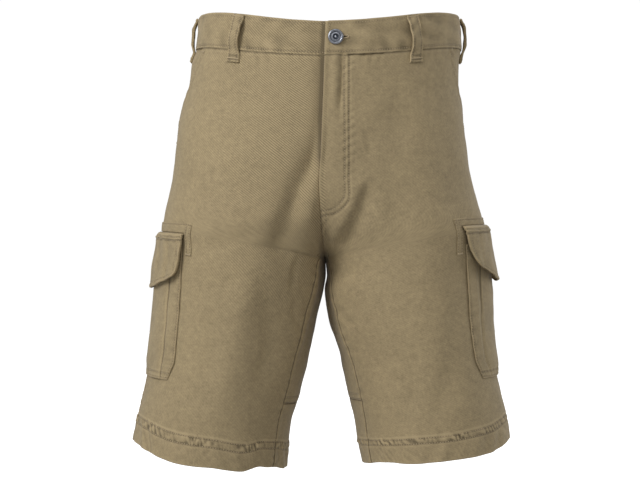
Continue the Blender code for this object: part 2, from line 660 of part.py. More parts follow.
def centre_place(charts, front, drop, across):
    """Points near the centre seam, front or back. across: to the wearer's left of it, along the row."""
    drop, across = np.broadcast_arrays(np.asarray(drop, float), np.asarray(across, float))
    halves = []
    for side in (RIGHT, LEFT):
        chart = charts[side]
        reach = np.maximum(across * side, 0.0)
        distance = reach if front else chart.total(drop) - reach
        halves.append(chart.place(drop, distance)[0])
    return np.where((across < 0)[..., None], halves[0], halves[1])


def add_centre_sheet(name, charts, front, drops, across, level, thickness, finish="twill"):
    """A wall over the surface that crosses the centre front or the centre back seam."""
    drops, across, level, thickness = np.broadcast_arrays(drops, across, level, thickness)
    points = centre_place(charts, front, drops, across).reshape(-1, 3)
    faces = grid_faces(*drops.shape, LEFT if front else RIGHT)
    normals = point_normals(points, faces)
    verts, walls = shell(points, normals, faces, level.ravel(), thickness.ravel(), 0.0)
    return add_object(name, verts, walls, finish)


def add_waistband(charts):
    """One strip from its under end, round the wearer's right, the back and the left, to its top end."""
    def middle(side, first):
        return list(np.linspace(first, float(charts[side].total(0.0)), BAND_CELLS + 1)[1:])

    stations = [(LEFT, d, -LAP) for d in reversed(BAND_END)]
    stations += [(RIGHT, d, -LAP * float(ease((30 - d) / 26))) for d in BAND_RIGHT]
    stations += [(RIGHT, d, 0.0) for d in middle(RIGHT, BAND_RIGHT[-1])]
    stations += [(LEFT, d, 0.0) for d in reversed(middle(LEFT, BAND_LEFT[-1])[:-1])]
    stations += [(LEFT, d, LAP * float(ease((75 - d) / 30))) for d in reversed(BAND_LEFT)]
    stations += [(LEFT, d, LAP) for d in reversed((0.0,) + BAND_END[:-1])]
    points, normals, level = [], [], []
    for k, (side, distance, lift) in enumerate(stations):
        chart = charts[side]
        drops = np.array(BAND_ROWS)
        near_end = distance if k > len(stations) - 4 and side == LEFT else 99.0
        drops[:2] += BAND_CORNER * max(0.0, 1 - near_end / BAND_CORNER) ** 2
        across = distance / chart.total(0.0) * chart.total(drops)
        place, normal = chart.place(drops, across)
        points.append(place)
        normals.append(normal)
        level.append(BAND_LEVEL + lift + np.array(BAND_ROUNDING))
    rows, columns = len(stations), len(BAND_ROWS)
    points, normals = np.concatenate(points), np.concatenate(normals)
    faces = []
    slot_row = BAND_ROWS.index(-SLOT_HEIGHT / 2)
    slot_stations = [rows - 1 - BAND_END.index(d) - 1 for d in SLOT_ENDS]
    for i in range(rows - 1):
        for j in range(columns - 1):
            if j == slot_row and slot_stations[1] <= i < slot_stations[0]:
                continue
            k = i * columns + j
            faces.append([k, k + columns, k + columns + 1, k + 1])
    verts, walls = shell(points, normals, faces, np.concatenate(level), np.full(len(points), BAND_CLOTH), 0.0)
    add_object("waistband", verts, walls, "twill")


def add_button(charts):
    """Turned round the normal of the waistband's top end, with its shank through the slot."""
    place, normal = charts[LEFT].place(0.0, BUTTON_ACROSS)
    axis = Vector(normal).normalized()
    turn = axis.to_track_quat("Z", "Y").to_matrix()
    verts, faces = [], []
    for radius, level in BUTTON_PROFILE:
        for k in range(BUTTON_STEPS):
            angle = 2 * math.pi * k / BUTTON_STEPS
            spot = turn @ Vector((radius * math.cos(angle), radius * math.sin(angle), level))
            verts.append(np.array(place) + np.array(spot))
    for ring in range(len(BUTTON_PROFILE) - 1):
        for k in range(BUTTON_STEPS):
            low, high = ring * BUTTON_STEPS, (ring + 1) * BUTTON_STEPS
            after = (k + 1) % BUTTON_STEPS
            faces.append([low + k, low + after, high + after, high + k])
    faces.append(list(reversed(range(BUTTON_STEPS))))
    faces.append(list(range(len(verts) - BUTTON_STEPS, len(verts))))
    add_object("button", verts, faces, "button metal")


def add_belt_loops(charts):
    drops = column(LOOP, LOOP_COLUMNS, "drop")[:, None]
    across = np.array([-0.5, 0.0, 0.5])[None, :] * LOOP_WIDTH
    level = LOOP_LEVEL + column(LOOP, LOOP_COLUMNS, "stand")[:, None] + LOOP_CLOTH
    for side in (RIGHT, LEFT):
        chart = charts[side]
        for name, middle in (("front", LOOP_FRONT), ("side", chart.outermost(drops))):
            label = "belt_loop_%s_%s" % (name, side_name(side))
            add_sheet(label, chart, drops, middle + across, level, LOOP_CLOTH)
    add_centre_sheet("belt_loop_back", charts, False, drops, across, level, LOOP_CLOTH)


def add_fly(charts):
    drops = np.array(UNDERLAP_ROWS)[:, None]
    across, level = (column(UNDERLAP, PROFILE_COLUMNS, name)[None, :] for name in ("across", "level"))
    add_centre_sheet("fly_underlap", charts, True, drops, across, level, CLOTH)
    drops = np.array(ZIP_ROWS)[:, None]
    across, level = (column(ZIP, PROFILE_COLUMNS, name)[None, :] for name in ("across", "level"))
    add_sheet("zip", charts[LEFT], drops, across, level, level - ZIP_BACK, "zip metal")


def add_hand_pockets(charts):
    for side in (RIGHT, LEFT):
        chart = charts[side]
        drops = np.array(FACING_ROWS)[:, None]
        seam = chart.seam(drops) - SEAM_GAP / 2
        mouth = chart.seam(drops) - mouth_ahead(drops)
        front = mouth + 1.0
        distances = np.concatenate(
            [mouth - 15.0, mouth - 7.0, front, front * 0.6 + seam * 0.4, front * 0.3 + seam * 0.7, seam], axis=1
        )
        level = np.array(FACING_LEVELS)[None, :]
        add_sheet("facing_" + side_name(side), chart, drops, distances, level, CLOTH)
        drops = column(BAG, BAG_COLUMNS, "drop")[:, None]
        start, stop = (column(BAG, BAG_COLUMNS, name)[:, None] for name in ("front", "back"))
        share_across = np.linspace(0.0, 1.0, 8)[None, :]
        distances = chart.seam(drops) + start + (stop - start) * share_across
        add_sheet("pocket_bag_" + side_name(side), chart, drops, distances, BAG_LEVEL, BAG_CLOTH, "pocketing")


def cargo_level(across, down):
    """Outer level of the cargo pocket. across: -1 front to 1 back. down: 0 top to 1 bottom."""
    xs, ys = column(CARGO_SWELL, SWELL_COLUMNS, "across"), column(CARGO_SWELL, SWELL_COLUMNS, "level")
    swell = np.interp(np.abs(across), xs, ys) - CARGO_EDGE
    swell = swell * (0.55 + 0.45 * ease(down / 0.3)) * ease((1 - down) / 0.12)
    return CARGO_EDGE + swell


def flap_bow(distance):
    """How much lower the flap's top edge lies at this distance from the outermost line of the leg."""
    return FLAP_BOW * np.maximum(1 - (distance / FLAP_HALF) ** 2, 0.0)


def cargo_half(down, name):
    """Half the width of the cargo pocket, with its clipped lower corners."""
    clip = CARGO_CLIP * np.clip((down - CARGO_CLIP_FROM) / (1 - CARGO_CLIP_FROM), 0, 1)
    return CARGO_HALF * (1 - CARGO_NARROW[name] * down) - clip


def add_cargo_pockets(charts):
    for side in (RIGHT, LEFT):
        chart, name = charts[side], side_name(side)
        flap = dict(zip(FLAP_NAMES, FLAPS[name]))
        across = np.array(CARGO_ACROSS)[None, :]
        rows = np.array(CARGO_ROWS)[:, None]
        down = (rows - CARGO_ROWS[0]) / (CARGO_ROWS[-1] - CARGO_ROWS[0])
        drops = rows + CARGO_BOW * down * (1 - across**2)
        level = cargo_level(across, down)
        wall = level - np.maximum(level - CLOTH, LIFT)
        distances = chart.outermost(rows) + cargo_half(down, name) * across
        add_sheet("cargo_pocket_" + name, chart, drops, distances, level, wall)

        across = np.linspace(-1.0, 1.0, FLAP_COLUMNS)[None, :]
        down = np.array(FLAP_ROWS)[:, None]
        length = flap["length"] - flap["shorter"] * np.abs(across) ** 2.1
        curl = np.clip((down - flap["straight"]) / (1 - flap["straight"]), 0, 1)
        half = FLAP_HALF - flap["slant"] * down - flap["corner"] * (1 - np.sqrt(1 - curl**2))
        drops = flap["top"] + flap_bow(half * across) + length * down
        under = cargo_level(np.clip(half * across / CARGO_HALF, -1, 1), np.clip((drops - CARGO_ROWS[0]) / 160, 0, 1))
        rest = LIFT + ease((drops - flap["top"] - flap_bow(half * across)) / 6.0) * (under + FLAP_REST)
        inner = rest + flap["flare"] * down**2 * (0.5 + 0.5 * np.abs(across))
        distances = chart.outermost(drops) + half * across
        add_sheet("cargo_flap_" + name, chart, drops, distances, inner + FLAP_CLOTH, FLAP_CLOTH)

        inside = STAY_HALF - STAY_WIDTH
        across = np.concatenate([[-STAY_HALF], np.linspace(-inside, inside, 14), [STAY_HALF]])[None, :]
        drops = np.array(STAY_ROWS[name])[:, None] + flap_bow(across)
        keep = np.ones((len(drops) - 1, across.size - 1), bool)
        keep[STAY_BAND_ROWS:, 1:-1] = False
        distances = chart.outermost(drops) + across
        add_sheet("flap_stay_" + name, chart, drops, distances, STAY_LIFT + STAY_CLOTH, STAY_CLOTH, keep=keep)


def main():
    clear_scene()
    charts = {side: Chart(side) for side in (RIGHT, LEFT)}
    add_panels(body_mesh(charts))
    add_waistband(charts)
    add_button(charts)
    add_belt_loops(charts)
    add_fly(charts)
    add_hand_pockets(charts)
    add_cargo_pockets(charts)


main()
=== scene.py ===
"""The looks of the cargo shorts: cloth, sewing, button and zip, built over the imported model.

Lengths are in millimetres until an object is made, with +Z up, the front towards -Y and the
wearer's left at +X. The tables and the surface are those of the model, so each piece lies where
the model has it. A drop is a distance below the origin, and a level is a height above the cloth.
"""

import math

import bpy
import numpy as np
from mathutils import Matrix, Vector


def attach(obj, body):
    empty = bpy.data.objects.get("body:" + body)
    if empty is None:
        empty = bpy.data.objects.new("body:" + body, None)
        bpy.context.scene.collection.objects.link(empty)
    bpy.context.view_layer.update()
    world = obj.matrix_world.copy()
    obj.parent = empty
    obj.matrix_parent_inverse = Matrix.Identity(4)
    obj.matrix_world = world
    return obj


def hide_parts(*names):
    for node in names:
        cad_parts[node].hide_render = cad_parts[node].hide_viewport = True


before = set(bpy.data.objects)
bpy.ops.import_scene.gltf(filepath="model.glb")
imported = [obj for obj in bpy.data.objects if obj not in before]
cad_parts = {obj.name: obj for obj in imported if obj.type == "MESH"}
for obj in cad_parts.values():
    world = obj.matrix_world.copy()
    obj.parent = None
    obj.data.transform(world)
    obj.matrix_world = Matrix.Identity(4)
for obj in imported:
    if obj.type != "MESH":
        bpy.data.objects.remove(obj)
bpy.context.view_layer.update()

MM = 0.001
RIGHT, LEFT = -1, 1
SIDES = {"right": RIGHT, "left": LEFT}
NAMES = {RIGHT: "right", LEFT: "left"}
TINY = 1e-9


def table(names, *rows):
    """Columns of numbers by their names."""
    return dict(zip(names.split(), np.array(rows, float).T))


# Driving sizes
SEAM_GAP = 0.3
CLOTH = 1.5
WAIST_TOP = -18.7
BAND_FOOT = 19.75
CROTCH = 225.0
GUSSET_END = 395.0
HEM_TOP = 450.0
HEM = 474.0
LEFT_HEM = 468.5
FLY_END = 176.0
FLY_WIDTH = 42.0
POCKET_MOUTH_END = 128.0
LEFT_SHARE = (LEFT_HEM - CROTCH) / (HEM - CROTCH)

# One row for each section of the body. rise: how far the front and the back of the row lie above
# its outer point. split: 0 where both halves are one oval, 1 where they meet only at the crotch.
SECTIONS = table(
    "drop front_rise back_rise dip front back power split right left",
    (-18.7, -17.7, 11.0, 4.0, 118.0, 117.0, 2.20, 0.00, 147.1, 156.5),
    (19.9, -17.4, 11.0, 2.5, 121.0, 120.0, 2.22, 0.00, 150.6, 158.0),
    (34.0, -17.0, 10.0, 2.3, 123.0, 124.0, 2.24, 0.00, 155.4, 156.5),
    (62.0, -15.0, 8.0, 2.0, 126.0, 131.0, 2.28, 0.00, 159.4, 156.0),
    (83.0, -13.5, 6.0, 1.8, 127.5, 137.0, 2.32, 0.00, 165.0, 158.6),
    (111.0, -12.0, 3.0, 1.6, 128.5, 143.0, 2.36, 0.05, 171.0, 161.6),
    (146.0, -11.5, -3.0, 1.5, 128.5, 146.0, 2.34, 0.19, 174.8, 166.0),
    (181.0, -13.0, -10.0, 1.5, 126.5, 145.5, 2.24, 0.43, 180.2, 172.6),
    (205.0, -15.6, -14.5, 1.5, 124.3, 141.0, 2.16, 0.75, 185.6, 179.8),
    (218.0, -17.2, -17.0, 1.5, 123.1, 137.8, 2.13, 0.94, 188.1, 183.4),
    (225.0, -18.0, -18.0, 1.5, 122.5, 136.0, 2.12, 1.00, 189.2, 184.9),
)
# One row for each section of a leg below the crotch. inner: its inner side from the middle.
LEGS = table(
    "drop front_rise back_rise dip front back power right left right_inner left_inner",
    (225.0, -18.0, -18.0, 1.5, 122.5, 136.0, 2.12, 189.2, 184.9, 0.0, 0.0),
    (245.0, -18.0, -18.0, 1.5, 120.5, 130.0, 2.08, 190.6, 186.6, -0.4, 2.3),
    (262.0, -18.0, -18.0, 1.5, 119.0, 125.5, 2.06, 192.2, 188.0, 1.9, -0.8),
    (290.0, -18.0, -17.5, 1.5, 117.0, 119.0, 2.05, 194.0, 189.3, 8.9, 2.4),
    (340.0, -17.5, -17.0, 1.5, 113.5, 112.0, 2.05, 198.4, 191.2, 18.6, 16.8),
    (385.0, -17.5, -15.5, 1.5, 111.0, 107.0, 2.05, 204.6, 197.2, 29.3, 25.9),
    (420.0, -17.5, -14.0, 1.5, 109.5, 103.5, 2.05, 212.4, 204.6, 39.7, 33.5),
    (450.0, -17.5, -13.0, 1.5, 108.5, 101.0, 2.05, 219.0, 211.4, 42.8, 38.4),
    (474.0, -17.5, -12.5, 1.5, 108.0, 100.0, 2.05, 223.7, 214.8, 45.4, 43.0),
)
# How far the centre front seam leans towards the wearer's left
LEAN = table(
    "height lean",
    (-262.0, 0.0), (-225.0, -5.0), (-175.0, -7.2), (-120.0, -4.6), (-60.0, -2.4), (20.0, 0.4),
)
LEAN_REACH = 45.0
# Side seam: degrees behind the outermost point
SEAM_TURN = table(
    "drop right left", (-20.0, 4.0, 4.0), (200.0, 3.0, 4.0), (320.0, -5.0, 3.0), (474.0, -14.0, 3.0)
)
# Front seam of the gusset on each leg, from the leg's innermost line, and its back seam
GUSSET = table(
    "drop right left back",
    (212.0, 0.0, 0.0, 0.0), (216.0, 12.0, 6.0, 6.0), (220.0, 27.5, 19.0, 14.0),
    (225.0, 56.0, 33.0, 38.0), (232.0, 67.5, 43.5, 45.0), (245.0, 69.5, 50.0, 50.0),
    (262.0, 70.5, 57.0, 50.0), (290.0, 71.5, 61.0, 50.0), (340.0, 72.0, 61.0, 50.0),
    (395.0, 65.5, 60.0, 50.0), (439.0, 63.5, 54.5, 50.0), (474.0, 63.0, 53.0, 50.0),
)
# Mouth of the hand pocket: how far its edge lies in front of the side seam
MOUTH = table(
    "drop ahead",
    (19.9, 66.0), (40.0, 61.0), (60.0, 49.0), (80.0, 34.0), (100.0, 20.0), (128.0, 5.0),
    (160.0, 14.0), (230.0, 30.0),
)

# Folds. view: the side they are seen from. Each runs through the points of its path, which are
# (across, height), fades out at both ends, and sinks by its depth or stands up where depth is
# negative. left and right: its width to either hand, going along its path with the wearer's left
# at +across. The columns are view, left, right, depth and path.
FOLDS = (
    ("front", 9.0, 13.0, 7.0, (
        (-3, -104), (-7, -141), (-18, -163), (-29, -185), (-38, -212), (-46, -237), (-45, -262),
        (-42, -284),
    )),
    ("front", 6.0, 9.0, -3.0, ((-14, -190), (-19, -215), (-22, -236), (-28, -256), (-30, -276))),
    ("front", 18.0, 16.0, -3.5, (
        (-80, -236), (-83, -264), (-89, -306), (-102, -355), (-113, -393), (-124, -432),
        (-130, -462),
    )),
    ("front", 18.0, 18.0, 3.0, ((-58, -262), (-60, -316), (-59, -355), (-68, -400), (-74, -446))),
    ("front", 5.0, 11.0, -2.6, (
        (46, -165), (40, -180), (30, -205), (20, -222), (11, -238), (6, -252),
    )),
    ("front", 13.0, 7.0, 5.0, (
        (50, -168), (44, -186), (36, -210), (27, -228), (18, -244), (14, -258),
    )),
    ("front", 5.0, 13.0, -4.5, (
        (-4, -175), (-8, -223), (-10, -250), (-14, -295), (-25, -333), (-35, -371), (-46, -420),
    )),
    ("front", 12.0, 5.0, -3.0, (
        (1, -215), (3, -264), (6, -289), (10, -306), (28, -371), (38, -408),
    )),
    ("front", 42.0, 42.0, 4.0, ((76, 20), (76, -200), (80, -330), (86, -520))),
    ("front", 38.0, 38.0, 3.0, ((-78, 20), (-84, -110), (-86, -240))),
    ("front", 18.0, 18.0, 1.5, ((-120, -352), (-128, -396), (-134, -440))),
    ("front", 12.0, 12.0, 2.0, (
        (146, -300), (143, -338), (139, -385), (125, -432), (118, -462),
    )),
    ("front", 18.0, 18.0, 1.2, ((60, -90), (74, -120), (96, -140))),
    ("back", 20.0, 16.0, 6.0, ((-14, -176), (-40, -214), (-72, -240), (-108, -252))),
    ("back", 16.0, 20.0, 5.5, ((12, -182), (42, -222), (78, -246), (116, -254))),
    ("back", 16.0, 16.0, 3.5, ((-20, -206), (-46, -250), (-70, -286))),
    ("back", 16.0, 16.0, 3.0, ((20, -214), (50, -262), (66, -300))),
    ("back", 18.0, 18.0, 2.5, ((-90, -360), (-104, -410), (-110, -470))),
    ("back", 18.0, 18.0, 2.5, ((104, -350), (112, -400), (124, -456))),
    ("back", 18.0, 18.0, 2.0, ((-70, -60), (-88, -92), (-92, -126))),
    ("back", 18.0, 18.0, 2.0, ((64, -56), (84, -86), (94, -118))),
)
# Fine creases, which the model leaves out, with the same columns
CREASES = (
    ("front", 3.5, 2.5, 1.0, ((45, -208), (52, -226), (59, -248))),
    ("front", 7.0, 4.0, 1.6, ((43, -118), (47, -132), (51, -148))),
    ("front", 4.0, 3.5, 3.0, ((20, -22), (18, -50), (16, -80), (15, -112))),
    ("front", 3.0, 4.0, -1.6, ((12, -30), (11, -60), (10, -96))),
    ("front", 4.0, 2.5, 2.2, ((-30, -246), (-33, -262), (-37, -284), (-39, -300))),
    ("front", 4.0, 3.0, 1.2, ((-33, -300), (-36, -322), (-30, -344))),
    ("front", 5.0, 3.0, 2.0, ((14, -312), (22, -330), (34, -340))),
    ("front", 9.0, 5.0, 0.9, ((84, -270), (96, -274), (108, -268))),
    ("front", 11.0, 12.0, -3.4, ((-56, -244), (-40, -249), (-26, -252), (-12, -250))),
    ("front", 9.0, 7.0, 0.5, ((50, -254), (90, -260), (146, -257))),
    ("front", 10.0, 8.0, 1.0, ((-138, -258), (-110, -246), (-74, -230))),
    ("front", 5.0, 4.0, 1.0, ((26, -150), (32, -164), (40, -180))),
    ("front", 12.0, 9.0, 1.4, ((88, -60), (80, -84), (84, -112), (98, -130))),
    ("front", 7.0, 6.0, 1.0, ((66, -196), (78, -214), (96, -226))),
    ("front", 10.0, 8.0, 1.3, ((-62, -330), (-66, -372), (-74, -408))),
    ("front", 9.0, 9.0, 1.2, ((92, -360), (98, -400), (96, -436))),
    ("front", 8.0, 8.0, 1.0, ((64, -372), (70, -410), (68, -440))),
    ("front", 5.0, 3.0, 0.8, ((130, -446), (126, -462), (122, -474))),
    ("back", 3.0, 2.5, 1.1, ((-22, -186), (-44, -216), (-70, -236), (-96, -244))),
    ("back", 2.5, 3.0, 1.1, ((20, -190), (46, -224), (76, -244), (104, -250))),
    ("back", 4.0, 3.0, 1.0, ((-30, -300), (-38, -330), (-34, -352))),
    ("back", 4.0, 3.0, 1.0, ((26, -306), (36, -328), (40, -352))),
)
FOLD_REACH = 2.8
FOLD_FADE = 0.3

# The hem's edge lifts and drops along the leg. The columns are side, angle round the leg (0
# outside and -90 in front), spread in degrees and lift.
HEM_WAVES = (
    ("right", -131.0, 9.0, 5.6), ("right", -148.0, 13.0, 5.2), ("right", -97.0, 12.0, 1.2),
    ("right", -68.0, 20.0, -1.5), ("right", -24.0, 26.0, 4.2), ("right", 60.0, 24.0, 3.5),
    ("right", 130.0, 24.0, -3.0), ("left", -136.0, 24.0, 6.0), ("left", -96.0, 18.0, 1.5),
    ("left", -50.0, 20.0, -2.4), ("left", 48.0, 22.0, -3.5), ("left", 110.0, 24.0, 3.5),
)
HEM_WAVE_REACH = 70.0

# How finely the rows are measured, and drops that are measured exactly
CHART_STEP = 3.0
CHART_SAMPLES = 361
CHART_CELL = 2.0
CHART_MARGIN = 130.0
CHART_DROPS = (
    19.9, 34, 52, 70, 90, 109, 128, 146, 163, 178, 192, 203, 212, 220, 225, 236, 252, 272, 296,
    320, 345, 370, 395, 416, 434, 450, 462, 474,
)

# Waistband: its lapped end, its rows and rounded edges, its buttonhole and how finely it is made
LAP = 1.7
BAND_LEVEL = 0.4
BAND_CLOTH = 3.0
BAND_STEP = 2.6
BAND_CORNER = 4.5
BAND_LAP_END = 41.0
BAND_UNDER_END = 34.0
BAND_RISE_END = 76.0
BAND_ROWS = np.array((
    -18.7, -18.5, -17.9, -17.0, -16.2, -15.4, -14.6, -13.0, -11.0, -9.0, -7.0, -5.4, -3.6, -1.8,
    -0.6, 0.6, 1.8, 3.6, 5.4, 7.4, 9.4, 11.4, 13.2, 14.4, 15.4, 16.6, 17.6, 18.6, 19.3, BAND_FOOT,
))
BAND_ROUND = (
    (-18.7, -0.5), (-17.9, -0.1), (-16.2, 0.1), (16.0, 0.1), (19.3, -0.1), (BAND_FOOT, -0.35),
)
BAND_STITCH_ROWS = (-15.4, 16.2)
BAND_END_ROW = 4.6
SLOT_HEIGHT = 3.6
HOLE_HEIGHT = 1.2
HOLE_EYE = 14.6
HOLE_ENDS = (9.0, 25.5)

# Button: how far it sits from the centre front, and its profile from the end of the shank, with its
# tone: painted shade in its recesses and paler crests
BUTTON_ACROSS = 11.7
BUTTON_STEPS = 64
BUTTON = table(
    "radius level wear",
    (1.5, -0.8, 0.0), (1.5, 2.8, 0.0), (7.7, 2.8, 0.0), (8.2, 2.95, 0.0), (8.5, 3.3, 0.1),
    (8.55, 3.9, 0.3), (8.4, 4.5, 0.5), (8.05, 4.95, 0.6), (7.5, 5.2, 0.3), (6.9, 5.2, 0.1),
    (6.3, 5.05, 0.2), (6.0, 4.9, 0.5), (5.75, 4.5, -0.8), (5.5, 4.05, -0.9), (5.1, 3.95, -0.3),
    (4.4, 4.15, 0.1), (3.7, 4.35, 0.2), (3.35, 4.3, 0.4), (3.1, 3.9, -1.0), (2.95, 3.2, -1.6),
    (2.6, 2.95, -1.8), (1.9, 2.95, -1.8), (1.5, 3.2, -1.2), (1.35, 3.9, 0.2), (1.1, 4.3, 0.9),
    (0.7, 4.5, 1.0), (0.3, 4.55, 1.0),
)

# Belt loops: how far the strip stands off along its length, and its section
LOOP = table(
    "drop stand",
    (-18.2, 0.3), (-15.5, 0.3), (-11.5, 1.8), (-5.0, 3.4), (3.0, 3.7), (11.0, 3.4), (17.5, 2.0),
    (22.0, 0.5), (26.0, 0.0), (33.5, 0.0),
)
LOOP_SECTION = table(
    "across crown",
    (-0.5, -0.35), (-0.45, 0.15), (-0.34, -0.35), (-0.28, -0.1), (-0.2, 0.15), (-0.1, 0.25),
    (0.0, 0.3), (0.1, 0.25), (0.2, 0.15), (0.28, -0.1), (0.34, -0.35), (0.45, 0.15), (0.5, -0.35),
)
LOOP_LEVEL = 0.5
LOOP_WIDTH = 15.0
LOOP_CLOTH = 1.6
SIDE_LOOP_CLOTH = 2.4
LOOP_FRONT = 104.0
LOOP_EDGES = (2, 10)
LOOP_TACKS = (-15.2, 28.5)

# Fly: levels across the underlap, and where the zip lies, measured from the centre front seam
UNDERLAP_DROPS = (20.2, 153.0)
UNDERLAP = table(
    "across level",
    (-10.0, -4.6), (-3.0, -4.6), (2.0, -3.9), (10.0, -3.9), (18.0, -3.9), (27.0, -3.9),
    (36.0, -3.9),
)
ZIP_DROPS = (21.0, 146.0)
ZIP_TAPE = (3.0, 11.6, 18.4, 27.0)
ZIP_MIDDLE = 15.0
ZIP_PITCH = 1.5
TAPE_LEVEL = -2.4
TAPE_CLOTH = 0.8
TOOTH_LEVEL = -1.75

# Hand pockets: the facing seen beyond the mouth, and the bag hung inside from the waist seam
FACING_DROPS = (19.0, 127.6)
FACING_LEVELS = (-3.0, -3.0, -3.0, -1.3, -0.4, 0.0)
BAG = table(
    "drop front back",
    (24.0, -140.0, -9.0), (52.0, -142.0, -9.0), (90.0, -144.0, -9.0), (128.0, -145.0, -9.0),
    (163.0, -145.0, -10.0), (192.0, -142.0, -14.0), (214.0, -132.0, -24.0), (228.0, -112.0, -46.0),
)
BAG_LEVEL = -6.2
BAG_CLOTH = 2.4

# Cargo pockets. Levels are above the leg. LIFT is the least gap to the leg.
LIFT = 0.4
CARGO_TOP = 238.0
CARGO_HEIGHT = 152.5
CARGO_HALF = 99.5
CARGO_NARROW = {"right": 0.01, "left": 0.11}
CARGO_CLIP = 8.0
CARGO_CLIP_FROM = 0.87
CARGO_BOW = 5.0
CARGO_SWELL = table(
    "across level",
    (0.0, 5.0), (0.3, 4.8), (0.6, 4.2), (0.74, 3.7), (0.785, 2.3), (0.84, 3.3), (0.96, 2.6),
    (1.0, 1.9),
)
CARGO_EDGE = 1.9
PLEAT_AT = {"right": 78.0, "left": 72.0}
# The flap's outline. top: drop of its top edge at its ends, BOW lower in its middle. length: in
# its middle, and how much shorter it is at its ends. slant and corner: how far its ends lean in
# and round off below, from the share of its length that is straight.
FLAP_NAMES = ("top", "length", "shorter", "slant", "corner", "straight", "flare")
FLAPS = {
    "right": (226.0, 66.5, 17.5, 5.0, 8.0, 0.75, 3.0),
    "left": (218.2, 66.0, 19.5, 10.6, 13.4, 0.3, 8.0),
}
FLAP_HALF = 104.0
FLAP_BOW = 4.0
FLAP_CLOTH = 2.5
FLAP_REST = 0.6
FLAP_CURVE = 2.1
# Lengths that the flap's rows of stitching are spaced by: in its middle, and less at its ends
FLAP_ROW_LENGTH = 66.5
FLAP_ROW_SHORTER = 18.5
# The strap that holds the flap: a band above it and a strip down beside each of its ends. Its
# columns are the drops of its top, of the band's foot and of the strips' ends.
STAYS = {"right": (214.9, 225.6, 250.0), "left": (209.8, 217.8, 249.0)}
STAY_HALF = 114.0
STAY_WIDTH = 9.4
STAY_CLOTH = 0.9
STAY_REST = 0.2

# Rows of stitching, by drop or by distance from an edge
HEM_ROWS = {"right": (443.0, 451.6), "left": (445.5, 451.8)}
SIDE_ROWS = (1.6, 7.0)
GUSSET_END_ROWS = (387.5, 394.0)
FLY_ROW = (
    (20.5, 27.6), (41.0, 28.0), (96.7, 29.6), (140.0, 31.6), (162.0, 32.8), (175.0, 33.5),
    (181.5, 32.3), (186.3, 28.8), (190.0, 23.5), (191.8, 17.0), (192.0, 1.5),
)
FLY_INNER_ROW = (
    (20.5, 23.0), (41.0, 23.3), (96.6, 24.9), (140.0, 27.0), (161.5, 28.2), (173.0, 28.4),
    (179.0, 26.8), (184.3, 23.4), (187.4, 18.0), (188.6, 13.0), (188.4, 1.5),
)
STRIP_ROWS = (1.3, 7.8)
MOUTH_ROWS = (1.8, 7.4)
CARGO_EDGE_ROW = 1.8
CARGO_FOOT_ROWS = (1.9, 7.8)
FLAP_EDGE_ROW = 5.6
FLAP_TOP_ROWS = (4.4, 7.9)
STAY_STITCH_ROWS = (1.6, 7.6)
STITCH_PITCH = 3.0
STITCH_SHARE = 0.70
TACK = {"pitch": 0.62, "across": 1.9}
HOLE_EDGE = {"pitch": 0.62, "across": 2.1}
THREAD = 0.42
THREAD_SIDES = 5
THREAD_END = 0.12

# How finely each panel is made. A row is a drop and the step after it. A band has fine cells by
# each of its seams and a number of even ones between them.
BODY_ROWS = (
    (18.7, 0.6), (21.5, 1.2), (25.0, 2.4), (178.0, 1.3), (196.0, 2.4), (225.0, 2.4), (383.0, 1.3),
    (399.0, 2.4), (438.0, 1.2), (458.0, 1.9), (472.0, 1.0), (474.0, 0.0),
)
SEAM_STEPS = (0.0, 0.7, 1.5, 2.6, 4.2, 5.9, 7.0, 8.2, 10.0)
FLY_STEPS = (
    0.0, 0.7, 1.4, 2.4, 4.2, 5.9, 7.0, 7.9, 8.9, 11.0, 13.2, 15.4, 17.6, 19.8, 21.4, 22.6, 23.5,
    24.4, 25.3, 26.3, 27.2, 28.1, 29.0, 29.9, 30.9, 32.0, 33.0, 34.0, 35.2, 37.2,
)
BODY_BANDS = (
    ("gusset_front", SEAM_STEPS, 22, SEAM_STEPS),
    ("front", FLY_STEPS, 88, SEAM_STEPS),
    ("mouth", (0.0, 0.6, 1.4), 14, SEAM_STEPS[:4]),
    ("back", SEAM_STEPS, 104, SEAM_STEPS),
    ("gusset_back", SEAM_STEPS, 13, SEAM_STEPS),
)
PANEL_CLOTH = 1.3
HEM_EXTRA = 0.8
SEAM_LAP = 0.15

# Studio, in metres and watts
CAMERA_LENS = 91.35
CAMERA_PLACE = (-0.0061, -1.9, -0.23985)
WORLD_SEEN, WORLD_FILL = 1.02, 0.37
FLOOR, FLOOR_GLOW = -0.66, 0.95
LIGHTS = (
    ("key light", (-1.5, -1.5, 1.1), (0.0, 0.0, -0.15), (1.0, 1.0), 36.0),
    ("front light", (0.2, -2.4, 1.4), (0.0, 0.0, -0.1), (1.2, 1.2), 5.5),
    ("flank light", (2.2, 0.5, 0.6), (0.0, 0.0, -0.25), (1.0, 1.4), 12.5),
    ("back light", (0.4, 2.4, 1.0), (0.0, 0.0, -0.25), (2.0, 1.4), 20.0),
)
TWILL_COLOUR = (0.346, 0.268, 0.148)
TWILL_RIB = 2.25
TWILL_AMOUNT = 1.15
THREAD_COLOUR = (0.43, 0.335, 0.200)


# ---------------------------------------------------------------- numbers

